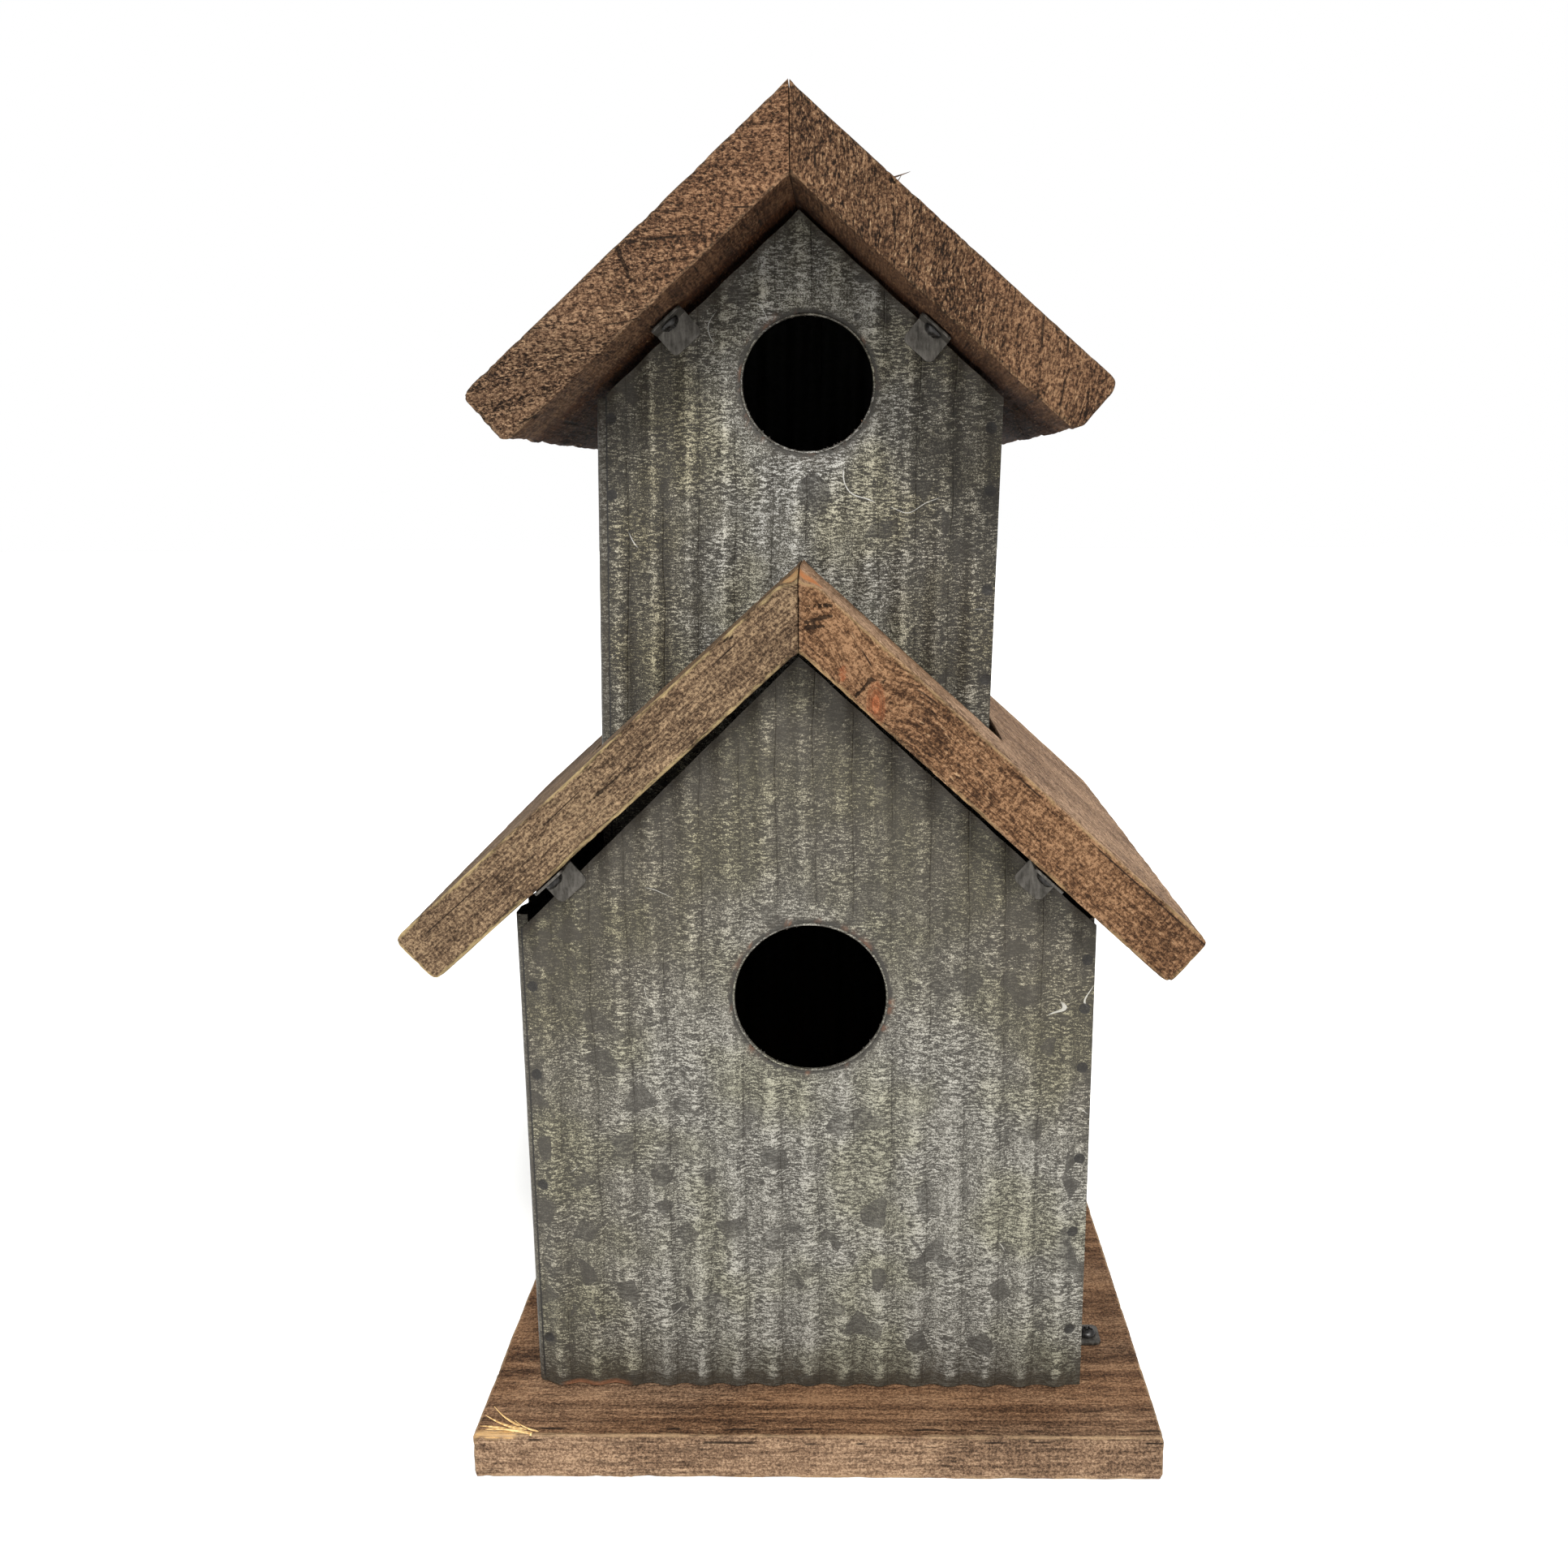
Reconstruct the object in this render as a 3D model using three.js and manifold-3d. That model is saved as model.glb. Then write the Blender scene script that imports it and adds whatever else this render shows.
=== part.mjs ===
// Two-storey birdhouse: a corrugated sheet-metal box and tower with plank roofs on a wooden base.
// Millimetres, +Z up, the front faces -Y. The origin is the centre of the base board's underside.

import * as THREE from 'three';
import { mergeVertices } from 'three/addons/utils/BufferGeometryUtils.js';
import Module from 'manifold-3d';

const wasm = await Module();
wasm.setup();

// ---------------------------------------------------------------- driving dimensions

const GAP = 0.3;                // clearance kept between pieces that touch
const CUT = 20;                 // how far a cutting solid runs past what it cuts

const BASE = { width: 222.7, depth: 235, thickness: 15.8 };

const SHEET = 0.8;              // sheet metal thickness
const RIB_HEIGHT = 1.6;         // corrugation, crest to valley
const RIB_FADE = 9;             // the corrugation flattens over this distance from an edge
const BEND_RADIUS = 2.5;        // middle of the sheet, where a side panel turns into its flange
const FLANGE = 12;              // reach of a side panel's flange behind the front or back panel

const BOX = {
  x: -3.65, front: -92, width: 183.3, depth: 200, ribPitch: 11.9,
  bottom: BASE.thickness + GAP, leftInset: 2.1, cornerRadius: 4,
  eaveLeft: 176.9, eaveRight: 178.1, apexX: -1, apexZ: 263,
  sideTopLeft: 181.4, sideTopRight: 180,
  hole: { x: 1.65, z: 154.3, radius: 24.4 },
};

// The tower leans a little, so its heights are measured from its pivot, at eave level.
const TOWER = {
  x: -5.05, front: -62, width: 127, depth: 140, ribPitch: 11.4,
  pivotZ: 340, lean: THREE.MathUtils.degToRad(1.4),
  bottom: -155, leftInset: 3.3, cornerRadius: 0,
  eaveLeft: -1.1, eaveRight: 1.1, apexX: -0.9, apexZ: 54.6,
  sideTopLeft: -1.5, sideTopRight: 0.8,
  hole: { x: 2.7, z: 4, radius: 20.6 },
};

const FLOOR_BOARD = { thickness: 12, clearance: 0.6 };

// A roof's heights are measured from its inner ridge, where the two undersides meet.
const LOWER_ROOF = {
  name: 'lower_roof', x: -4.2, innerRidge: 265.8, front: -107, depth: 230, thickness: 18.5,
  left: { pitch: 42, length: 167.8 }, right: { pitch: 42.3, length: 168.1 },
  clipAlong: { left: 103.5, right: 102 },
};
const UPPER_ROOF = {
  name: 'upper_roof', x: -5.55, innerRidge: 396.5, front: -104, depth: 224, thickness: 18.5,
  left: { pitch: 41.2, length: 125 }, right: { pitch: 40.7, length: 122.3 },
  clipAlong: { left: 51.8, right: 56 },
};

// The opening that the tower stands in, through the lower roof boards.
const NOTCH = { leftGap: 1.8, rightGap: 4.9, frontGap: 0.8, backGap: 1.4 };

const CLIP = { width: 11.5, faceLeg: 8.4, tab: 13.4, corner: 2, holeRadius: 1.8, holeAt: 7.4 };
const TOWER_CLIP = { leg: 11, y: 8 };
const BASE_CLIP = { leg: 9, tab: 10.4, holeAt: 6.2, frontY: -62, backY: 66 };

const SCREW = {
  headRadius: 3.1, headHeight: 2.1, shankRadius: 1.4, length: 12, holeRadius: 1.8,
  slotWidth: 0.9, slotLength: 3.6, slotDepth: 1.2,
};

const ROUND_STEPS = 40;         // facets round an entrance hole
const SMALL_STEPS = 12;         // facets round a screw and its hole
const CORNER_STEPS = 3;         // facets round a panel's or a clip's corner

// ---------------------------------------------------------------- materials

const material = (color, roughness, metalness) =>
  new THREE.MeshStandardMaterial({ color, roughness, metalness });

const MATERIALS = {
  roofWood: material(0x80624c, 0.85, 0),
  baseWood: material(0x8c6d50, 0.85, 0),
  floorWood: material(0x9a7f63, 0.85, 0),
  galvanised: material(0x7f7b72, 0.55, 0.75),
  clipSteel: material(0x625c55, 0.5, 0.8),
  screwSteel: material(0x2d2b29, 0.4, 0.9),
};

// ---------------------------------------------------------------- solids

// A manifold solid from a closed three.js geometry.
function toSolid(geometry) {
  const plain = geometry.clone();
  plain.deleteAttribute('normal');
  plain.deleteAttribute('uv');
  const merged = mergeVertices(plain, 1e-4);
  return new wasm.Manifold(new wasm.Mesh({
    numProp: 3,
    vertProperties: new Float32Array(merged.attributes.position.array),
    triVerts: new Uint32Array(merged.index.array),
  }));
}

function toGeometry(solid) {
  const mesh = solid.getMesh();
  const geometry = new THREE.BufferGeometry();
  geometry.setAttribute('position', new THREE.BufferAttribute(mesh.vertProperties, 3));
  geometry.setIndex(new THREE.BufferAttribute(mesh.triVerts, 1));
  geometry.computeVertexNormals();
  return geometry;
}

function cutAway(geometry, cutters) {
  let solid = toSolid(geometry);
  for (const cutter of cutters) {
    solid = solid.subtract(toSolid(cutter));
  }
  return toGeometry(solid);
}

function joined(geometries) {
  const solids = geometries.map(toSolid);
  return toGeometry(solids.reduce((whole, next) => whole.add(next)));
}

function extruded(shape, depth) {
  return new THREE.ExtrudeGeometry(shape, { depth, bevelEnabled: false, curveSegments: CORNER_STEPS });
}

// A box between two corners.
function boxBetween(low, high) {
  const size = new THREE.Vector3().subVectors(high, low);
  const centre = new THREE.Vector3().addVectors(low, high).multiplyScalar(0.5);
  return new THREE.BoxGeometry(size.x, size.y, size.z).translate(centre.x, centre.y, centre.z);
}

// An outline in X and Z, given a thickness from y = front to y = front + depth.
function slab(shape, front, depth) {
  return extruded(shape, depth).rotateX(Math.PI / 2).translate(0, front + depth, 0);
}

function polygon(points) {
  return new THREE.Shape(points.map(([x, z]) => new THREE.Vector2(x, z)));
}

// A cylinder along Z from z = low to z = high.
function post(x, y, low, high, radius) {
  const height = high - low;
  const geometry = new THREE.CylinderGeometry(radius, radius, height, SMALL_STEPS);
  return geometry.rotateX(Math.PI / 2).translate(x, y, low + height / 2);
}

function piece(name, geometry, finish) {
  const mesh = new THREE.Mesh(geometry, finish);
  mesh.name = name;
  return mesh;
}

// ---------------------------------------------------------------- corrugated sheet

// How deep the corrugation lies below its crests, across a sheet from -half to +half.
function ribDepth(across, half, pitch) {
  const wave = 0.5 - 0.5 * Math.cos((2 * Math.PI * across) / pitch);
  const toEdge = half - Math.abs(across);
  const fade = THREE.MathUtils.smoothstep(toEdge, 0, RIB_FADE);
  return RIB_HEIGHT * (1 - fade * (1 - wave));
}

// A sheet of constant thickness along a line of points, as a closed outline.
function sheetOutline(line) {
  const left = [];
  const right = [];
  line.forEach((point, i) => {
    const before = line[Math.max(i - 1, 0)];
    const after = line[Math.min(i + 1, line.length - 1)];
    const along = new THREE.Vector2().subVectors(after, before).normalize();
    const normal = new THREE.Vector2(-along.y, along.x).multiplyScalar(SHEET / 2);
    left.push(point.clone().add(normal));
    right.push(point.clone().sub(normal));
  });
  return new THREE.Shape([...left, ...right.reverse()]);
}

// A front or back panel's outline in X and Z, with a gable top.
function gableOutline(storey) {
  const half = storey.width / 2;
  const left = -half + storey.leftInset;
  const radius = storey.cornerRadius;
  const shape = new THREE.Shape();
  shape.moveTo(half, storey.bottom);
  shape.lineTo(half, storey.eaveRight);
  shape.lineTo(storey.apexX, storey.apexZ);
  shape.lineTo(left, storey.eaveLeft);
  shape.lineTo(left, storey.bottom + radius);
  if (radius > 0) {
    shape.absarc(left + radius, storey.bottom + radius, radius, Math.PI, 1.5 * Math.PI, false);
  }
  shape.closePath();
  return shape;
}

// A front or back panel: its crests are at y = 0, and its valleys lie inwards, at +Y or -Y.
function gablePanel(storey, inwards, withHole) {
  const half = storey.width / 2;
  const steps = Math.round((storey.width / storey.ribPitch) * 6);
  const line = [];
  for (let i = 0; i <= steps; i += 1) {
    const across = -half + (storey.width * i) / steps;
    const depth = SHEET / 2 + ribDepth(across, half, storey.ribPitch);
    line.push(new THREE.Vector2(across, inwards * depth));
  }
  const height = storey.apexZ - storey.bottom + 2 * CUT;
  const sheet = extruded(sheetOutline(line), height).translate(0, 0, storey.bottom - CUT);
  const outline = slab(gableOutline(storey), -CUT, 2 * CUT);
  let solid = toSolid(sheet).intersect(toSolid(outline));
  if (withHole) {
    const { x, z, radius } = storey.hole;
    const hole = new THREE.CylinderGeometry(radius, radius, 2 * CUT, ROUND_STEPS).translate(x, 0, z);
    solid = solid.subtract(toSolid(hole));
  }
  return toGeometry(solid);
}

// The middle line of the left side panel, seen from above: flange, bend, ribbed wall, bend, flange.
function sidePanelLine(storey) {
  const outer = -storey.width / 2 + SHEET / 2;
  const flangeY = RIB_HEIGHT + SHEET + GAP + SHEET / 2;
  const wallHalf = storey.depth / 2 - flangeY - BEND_RADIUS;
  const middle = storey.depth / 2;
  const line = [new THREE.Vector2(outer + FLANGE, flangeY)];
  const bendSteps = 3;
  const bend = (centreY, from) => {
    for (let i = 0; i <= bendSteps; i += 1) {
      const angle = from - (i / bendSteps) * (Math.PI / 2);
      const x = outer + BEND_RADIUS * (1 + Math.cos(angle));
      line.push(new THREE.Vector2(x, centreY + BEND_RADIUS * Math.sin(angle)));
    }
  };
  bend(middle - wallHalf, 1.5 * Math.PI);
  const wallSteps = Math.round(((2 * wallHalf) / storey.ribPitch) * 4);
  for (let i = 1; i < wallSteps; i += 1) {
    const across = -wallHalf + (2 * wallHalf * i) / wallSteps;
    const inset = RIB_HEIGHT - ribDepth(across, wallHalf, storey.ribPitch);
    line.push(new THREE.Vector2(outer + inset, middle + across));
  }
  bend(middle + wallHalf, Math.PI);
  line.push(new THREE.Vector2(outer + FLANGE, storey.depth - flangeY));
  return line;
}

// A side panel, its flanges cut off below the eaves so that the gables hide them.
function sidePanel(storey, side) {
  const isLeft = side === 'left';
  const top = isLeft ? storey.sideTopLeft : storey.sideTopRight;
  const flangeTop = (isLeft ? storey.eaveLeft : storey.eaveRight) - 2;
  const line = sidePanelLine(storey);
  const sheet = extruded(sheetOutline(line), top - storey.bottom).translate(0, 0, storey.bottom);
  const flangeStart = -storey.width / 2 + SHEET / 2 + BEND_RADIUS;
  const aboveFlange = boxBetween(
    new THREE.Vector3(flangeStart, -CUT, flangeTop),
    new THREE.Vector3(flangeStart + CUT, storey.depth + CUT, top + CUT),
  );
  const geometry = cutAway(sheet, [aboveFlange]);
  // the right panel is the left one turned half way round
  return isLeft ? geometry : geometry.rotateZ(Math.PI).translate(0, storey.depth, 0);
}

// ---------------------------------------------------------------- fasteners

// A flat plate with two round corners at its far end, its middle plane at y = 0, hanging in -Z.
function clipPlate(length) {
  const half = CLIP.width / 2;
  const radius = CLIP.corner;
  const shape = new THREE.Shape();
  shape.moveTo(half, 0);
  shape.lineTo(-half, 0);
  shape.lineTo(-half, -length + radius);
  shape.absarc(-half + radius, -length + radius, radius, Math.PI, 1.5 * Math.PI, false);
  shape.absarc(half - radius, -length + radius, radius, -0.5 * Math.PI, 0, false);
  shape.closePath();
  return slab(shape, -SHEET / 2, SHEET);
}

// A bent clip with its bend along X at the origin. One leg hangs in -Z, and the tab turns from it
// by the given angle towards -Y. The tab has a screw hole.
function bentClip(leg, tab, holeAt, angle) {
  const hole = post(0, 0, -CUT, CUT, CLIP.holeRadius).rotateX(Math.PI / 2).translate(0, 0, -holeAt);
  const tabPlate = cutAway(clipPlate(tab), [hole]).rotateX(-angle);
  const knuckle = new THREE.CylinderGeometry(SHEET / 2, SHEET / 2, CLIP.width, 2 * CORNER_STEPS);
  return joined([clipPlate(leg), tabPlate, knuckle.rotateZ(Math.PI / 2)]);
}

// A pan-head wood screw pointing along +Z, the underside of its head at z = 0.
function screw() {
  const { headRadius, headHeight, shankRadius, length, slotWidth, slotLength, slotDepth } = SCREW;
  const tip = 3;
  const profile = [
    new THREE.Vector2(0, -headHeight),
    new THREE.Vector2(headRadius * 0.62, -headHeight * 0.86),
    new THREE.Vector2(headRadius * 0.94, -headHeight * 0.45),
    new THREE.Vector2(headRadius, 0),
    new THREE.Vector2(shankRadius, 0),
    new THREE.Vector2(shankRadius, length - tip),
    new THREE.Vector2(0, length),
  ];
  const body = new THREE.LatheGeometry(profile, SMALL_STEPS).rotateX(Math.PI / 2);
  const slotZ = -headHeight + slotDepth / 2 - 0.2;
  const slots = [
    new THREE.BoxGeometry(slotWidth, slotLength, slotDepth).translate(0, 0, slotZ),
    new THREE.BoxGeometry(slotLength, slotWidth, slotDepth).translate(0, 0, slotZ),
  ];
  return cutAway(body, slots);
}

const SCREW_GEOMETRY = screw();
const ROOF_CLIP_GEOMETRY = bentClip(CLIP.faceLeg, CLIP.tab, CLIP.holeAt, Math.PI / 2);

// ---------------------------------------------------------------- a storey's four panels

function storeyPanels(name, storey) {
  const squareBack = { ...storey, leftInset: 0, cornerRadius: 0 };
  const frontPanel = piece(`${name}_front_panel`, gablePanel(storey, 1, true), MATERIALS.galvanised);
  const backPanel = piece(`${name}_back_panel`, gablePanel(squareBack, -1, false), MATERIALS.galvanised);
  backPanel.position.y = storey.depth;
  const sides = ['left', 'right'].map((side) =>
    piece(`${name}_${side}_side_panel`, sidePanel(storey, side), MATERIALS.galvanised));
  return [frontPanel, backPanel, ...sides];
}

// ---------------------------------------------------------------- roofs

// Everything on one side of a roof is placed in that side's own frame: the underside is z = 0,
// the ridge is at x = 0, and the board runs to -X on the left and to +X on the right.
function roofSideGroup(roof, side) {
  const pitch = THREE.MathUtils.degToRad(roof[side].pitch);
  const group = new THREE.Group();
  group.position.set(roof.x, 0, roof.innerRidge);
  group.rotation.y = side === 'left' ? -pitch : pitch;
  group.updateMatrixWorld();
  return group;
}

// A board's cross-section, mitred at the ridge.
function boardOutline(roof, side) {
  const { pitch: degrees, length } = roof[side];
  const pitch = THREE.MathUtils.degToRad(degrees);
  const sign = side === 'left' ? 1 : -1;
  const thickness = roof.thickness;
  const ridge = thickness * Math.tan(pitch);
  const joint = GAP / 2 / Math.cos(pitch);
  const points = [[-joint, 0], [ridge - joint, thickness], [ridge - length, thickness], [ridge - length, 0]];
  return polygon(points.map(([x, z]) => [sign * x, z]));
}

// The two ends of a roof: where the gable's outer face lies, and which way is outwards.
function roofEnds(storey) {
  return [
    { end: 'front', y: storey.front, outwards: -1 },
    { end: 'back', y: storey.front + storey.depth, outwards: 1 },
  ];
}

function roofSide(roof, side, storey, extraCutters) {
  const group = roofSideGroup(roof, side);
  const along = (side === 'left' ? -1 : 1) * roof.clipAlong[side];
  const tabLevel = -GAP - SHEET / 2;
  const toSideFrame = group.matrixWorld.clone().invert();
  const cutters = extraCutters.map((cutter) => cutter.clone().applyMatrix4(toSideFrame));
  for (const { end, y, outwards } of roofEnds(storey)) {
    const bendY = y + outwards * (GAP + SHEET / 2);
    const screwY = bendY + outwards * CLIP.holeAt;
    cutters.push(post(along, screwY, -CUT, SCREW.length + 1, SCREW.holeRadius));

    const clip = piece(`${roof.name}_clip_${end}_${side}`, ROOF_CLIP_GEOMETRY, MATERIALS.clipSteel);
    clip.position.set(along, bendY, tabLevel);
    clip.rotation.z = end === 'front' ? 0 : Math.PI;

    const fixing = piece(`${roof.name}_clip_screw_${end}_${side}`, SCREW_GEOMETRY, MATERIALS.screwSteel);
    fixing.position.set(along, screwY, tabLevel - SHEET / 2 - GAP);
    group.add(clip, fixing);
  }
  const board = cutAway(slab(boardOutline(roof, side), roof.front, roof.depth), cutters);
  group.add(piece(`${roof.name}_${side}_board`, board, MATERIALS.roofWood));
  return group;
}

// ---------------------------------------------------------------- the tower's place in the roof

// A point on the tower's outer wall at a given height, in the object's frame.
function towerWallX(side, z) {
  const centre = TOWER.x + (z - TOWER.pivotZ) * Math.sin(TOWER.lean);
  return centre + (side === 'left' ? -0.5 : 0.5) * TOWER.width;
}

function notchCutter() {
  const low = TOWER.pivotZ + TOWER.bottom;
  const crossing = LOWER_ROOF.innerRidge - TOWER.width / 2;
  return boxBetween(
    new THREE.Vector3(towerWallX('left', crossing) - NOTCH.leftGap, TOWER.front - NOTCH.frontGap, low),
    new THREE.Vector3(
      towerWallX('right', crossing) + NOTCH.rightGap,
      TOWER.front + TOWER.depth + NOTCH.backGap,
      LOWER_ROOF.innerRidge + 3 * CUT,
    ),
  );
}

// A clip that holds the tower's wall to the underside of the lower roof board beside it.
function towerClip(side) {
  const sign = side === 'left' ? -1 : 1;
  const pitch = THREE.MathUtils.degToRad(LOWER_ROOF[side].pitch);
  const offWall = GAP + SHEET / 2;
  const underside = (x) => LOWER_ROOF.innerRidge - Math.abs(x - LOWER_ROOF.x) * Math.tan(pitch);
  const wallX = towerWallX(side, underside(towerWallX(side, LOWER_ROOF.innerRidge - TOWER.width / 2)));
  const bendX = wallX + sign * offWall;
  const group = new THREE.Group();
  group.position.set(bendX, TOWER_CLIP.y, underside(bendX) - offWall / Math.cos(pitch));

  const angle = Math.PI / 2 - pitch + sign * TOWER.lean;
  const clip = piece(
    `tower_clip_${side}`,
    bentClip(TOWER_CLIP.leg, CLIP.tab, CLIP.holeAt, angle),
    MATERIALS.clipSteel,
  );
  clip.rotation.set(0, TOWER.lean, sign * Math.PI / 2, 'YZX');
  const fixing = piece(`tower_clip_screw_${side}`, SCREW_GEOMETRY, MATERIALS.screwSteel);
  fixing.rotation.y = sign * pitch;
  const headLevel = -SHEET / 2 - GAP;
  fixing.position.set(
    sign * CLIP.holeAt * Math.cos(pitch) + sign * headLevel * Math.sin(pitch),
    0,
    -CLIP.holeAt * Math.sin(pitch) + headLevel * Math.cos(pitch),
  );
  const holeGeometry = post(0, 0, -CUT / 4, SCREW.length + 1, SCREW.holeRadius);
  fixing.updateMatrix();
  group.updateMatrix();
  holeGeometry.applyMatrix4(fixing.matrix).applyMatrix4(group.matrix);
  group.add(clip, fixing);
  return { group, hole: holeGeometry };
}

// ---------------------------------------------------------------- the base

function baseClips() {
  const group = new THREE.Group();
  const holes = [];
  const places = [
    { name: 'base_clip_right', sign: 1, y: BASE_CLIP.frontY },
    { name: 'base_clip_left', sign: -1, y: BASE_CLIP.backY },
  ];
  const clipGeometry = bentClip(BASE_CLIP.leg, BASE_CLIP.tab, BASE_CLIP.holeAt, Math.PI / 2);
  for (const { name, sign, y } of places) {
    const x = BOX.x + sign * (BOX.width / 2 + GAP + SHEET / 2);
    const z = BASE.thickness + GAP + SHEET / 2;
    const clip = piece(name, clipGeometry, MATERIALS.clipSteel);
    clip.position.set(x, y, z);
    clip.rotation.set(Math.PI, 0, (-sign * Math.PI) / 2, 'ZYX');
    const screwX = x + sign * BASE_CLIP.holeAt;
    const fixing = piece(name.replace('clip_', 'clip_screw_'), SCREW_GEOMETRY, MATERIALS.screwSteel);
    fixing.position.set(screwX, y, z + SHEET / 2 + GAP);
    fixing.rotation.x = Math.PI;
    holes.push(post(screwX, y, BASE.thickness - SCREW.length, BASE.thickness + CUT, SCREW.holeRadius));
    group.add(clip, fixing);
  }
  return { group, holes };
}

function baseBoard(holes) {
  const board = boxBetween(
    new THREE.Vector3(-BASE.width / 2, -BASE.depth / 2, 0),
    new THREE.Vector3(BASE.width / 2, BASE.depth / 2, BASE.thickness),
  );
  return piece('base_board', cutAway(board, holes), MATERIALS.baseWood);
}

function towerFloorBoard() {
  const wall = RIB_HEIGHT + SHEET + FLOOR_BOARD.clearance;
  const flange = RIB_HEIGHT + 2 * SHEET + GAP + FLOOR_BOARD.clearance;
  const board = boxBetween(
    new THREE.Vector3(-TOWER.width / 2 + wall, flange, TOWER.bottom),
    new THREE.Vector3(TOWER.width / 2 - wall, TOWER.depth - flange, TOWER.bottom + FLOOR_BOARD.thickness),
  );
  return piece('tower_floor_board', board, MATERIALS.floorWood);
}

// ---------------------------------------------------------------- assembly

const birdhouse = new THREE.Group();

const { group: baseFixings, holes: baseHoles } = baseClips();
birdhouse.add(baseBoard(baseHoles), baseFixings);

const lowerBox = new THREE.Group();
lowerBox.position.set(BOX.x, BOX.front, 0);
lowerBox.add(...storeyPanels('lower', BOX));
birdhouse.add(lowerBox);

const tower = new THREE.Group();
tower.position.set(TOWER.x, TOWER.front, TOWER.pivotZ);
tower.rotation.y = TOWER.lean;
tower.add(...storeyPanels('tower', TOWER), towerFloorBoard());
birdhouse.add(tower);

for (const side of ['left', 'right']) {
  const { group: towerFixing, hole } = towerClip(side);
  birdhouse.add(towerFixing);
  birdhouse.add(roofSide(LOWER_ROOF, side, BOX, [notchCutter(), hole]));
  birdhouse.add(roofSide(UPPER_ROOF, side, TOWER, []));
}

export default birdhouse;
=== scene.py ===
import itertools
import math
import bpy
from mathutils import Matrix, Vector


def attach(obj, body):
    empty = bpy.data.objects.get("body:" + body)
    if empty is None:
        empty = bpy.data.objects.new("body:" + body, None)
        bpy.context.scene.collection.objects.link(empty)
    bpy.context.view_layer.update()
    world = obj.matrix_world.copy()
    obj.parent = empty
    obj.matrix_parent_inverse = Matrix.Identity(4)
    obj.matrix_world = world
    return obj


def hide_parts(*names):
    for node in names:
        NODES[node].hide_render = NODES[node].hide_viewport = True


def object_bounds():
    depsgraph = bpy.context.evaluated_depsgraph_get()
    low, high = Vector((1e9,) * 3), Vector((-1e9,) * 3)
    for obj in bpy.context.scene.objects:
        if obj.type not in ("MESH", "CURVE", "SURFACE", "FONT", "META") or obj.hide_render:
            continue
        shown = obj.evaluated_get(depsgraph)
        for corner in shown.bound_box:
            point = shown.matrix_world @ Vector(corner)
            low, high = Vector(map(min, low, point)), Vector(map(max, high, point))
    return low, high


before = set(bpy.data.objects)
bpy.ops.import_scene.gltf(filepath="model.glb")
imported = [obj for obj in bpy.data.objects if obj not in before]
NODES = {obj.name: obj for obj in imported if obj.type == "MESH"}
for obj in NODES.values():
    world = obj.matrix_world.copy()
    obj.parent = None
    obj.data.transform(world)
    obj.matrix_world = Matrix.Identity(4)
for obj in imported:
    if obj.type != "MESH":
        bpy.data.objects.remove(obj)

# A two-storey birdhouse of corrugated galvanised sheet and rough planks. Metres, +Z up, front faces -Y.
# Boards are remeshed from their CAD solids, then sawn, pitted and worn by noise that only cuts inwards.
# Sheet panels are rebuilt on fine grids that take their outlines from the CAD nodes.

from types import SimpleNamespace

import bmesh
import bpy
import numpy as np
from mathutils import Matrix, Vector
from mathutils.geometry import convex_hull_2d

CAD_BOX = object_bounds()
MM = 0.001

# ---------------------------------------------------------------- sizes

SHEET = 0.8 * MM
RIB_HEIGHT = 1.6 * MM
RIB_FADE = 9 * MM               # the corrugation flattens over this distance from a panel's edge
BEND_RADIUS = 2.5 * MM
RIB_PITCH = {"lower": 11.9 * MM, "tower": 11.4 * MM}
HOLE_FLAT = 9 * MM              # the corrugation is pressed flat this far round a hole
HOLE_MARGIN = 4 * MM            # a panel's points further in than this belong to its hole
FRONT_CORNER = 4 * MM
GRID_STEP = {"across": 1.05 * MM, "up": 0.82 * MM, "side_across": 1.5 * MM, "side_up": 1.6 * MM}
LIP = {"clearance": 0.05 * MM, "thickness": 0.42 * MM, "reach": 0.85 * MM, "out": 0.4 * MM}
SCREW_HEAD = {"radius": 3.1 * MM, "height": 2.1 * MM, "shank": 1.4 * MM, "length": 12 * MM}
THREAD = {"turns": 12, "step": 0.75 * MM, "waist": 0.82}
CLIP_EDGE = 0.16 * MM
FAR = 20 * MM                   # stored where a point is near no rim, spot or cut


# ---------------------------------------------------------------- noise

def lattice(cell, seed):
    """A fixed pseudo-random number from 0 to 1 for each whole-numbered cell."""
    h = cell[:, 0] * 374761393 + cell[:, 1] * 668265263 + cell[:, 2] * 1442695041 + seed * 40503
    h &= 0xFFFFFFFF
    h = ((h ^ (h >> 13)) * 1274126177) & 0xFFFFFFFF
    return ((h ^ (h >> 16)) & 0xFFFF) / 0xFFFF


def noise(points, size, seed):
    """Smooth noise from -1 to 1. size is the size of its features, one number or one per axis."""
    p = points / np.asarray(size)
    cell = np.floor(p).astype(np.int64)
    t = p - cell
    t = t * t * (3 - 2 * t)
    total = np.zeros(len(p))
    for corner in itertools.product((0, 1), repeat=3):
        weight = np.prod(np.where(corner, t, 1 - t), axis=1)
        total += weight * lattice(cell + np.array(corner), seed)
    return 2 * total - 1


def layered(points, size, seed, layers=3):
    """Noise with finer layers added, each half the size and half the strength of the last."""
    total, strength = np.zeros(len(points)), 1.0
    for layer in range(layers):
        total += strength * noise(points, np.asarray(size) * strength, seed + 17 * layer)
        strength /= 2
    return total / (2 - 2 * strength)


def smooth(value, low, high):
    t = np.clip((value - low) / (high - low), 0, 1)
    return t * t * (3 - 2 * t)


# ---------------------------------------------------------------- meshes

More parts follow.
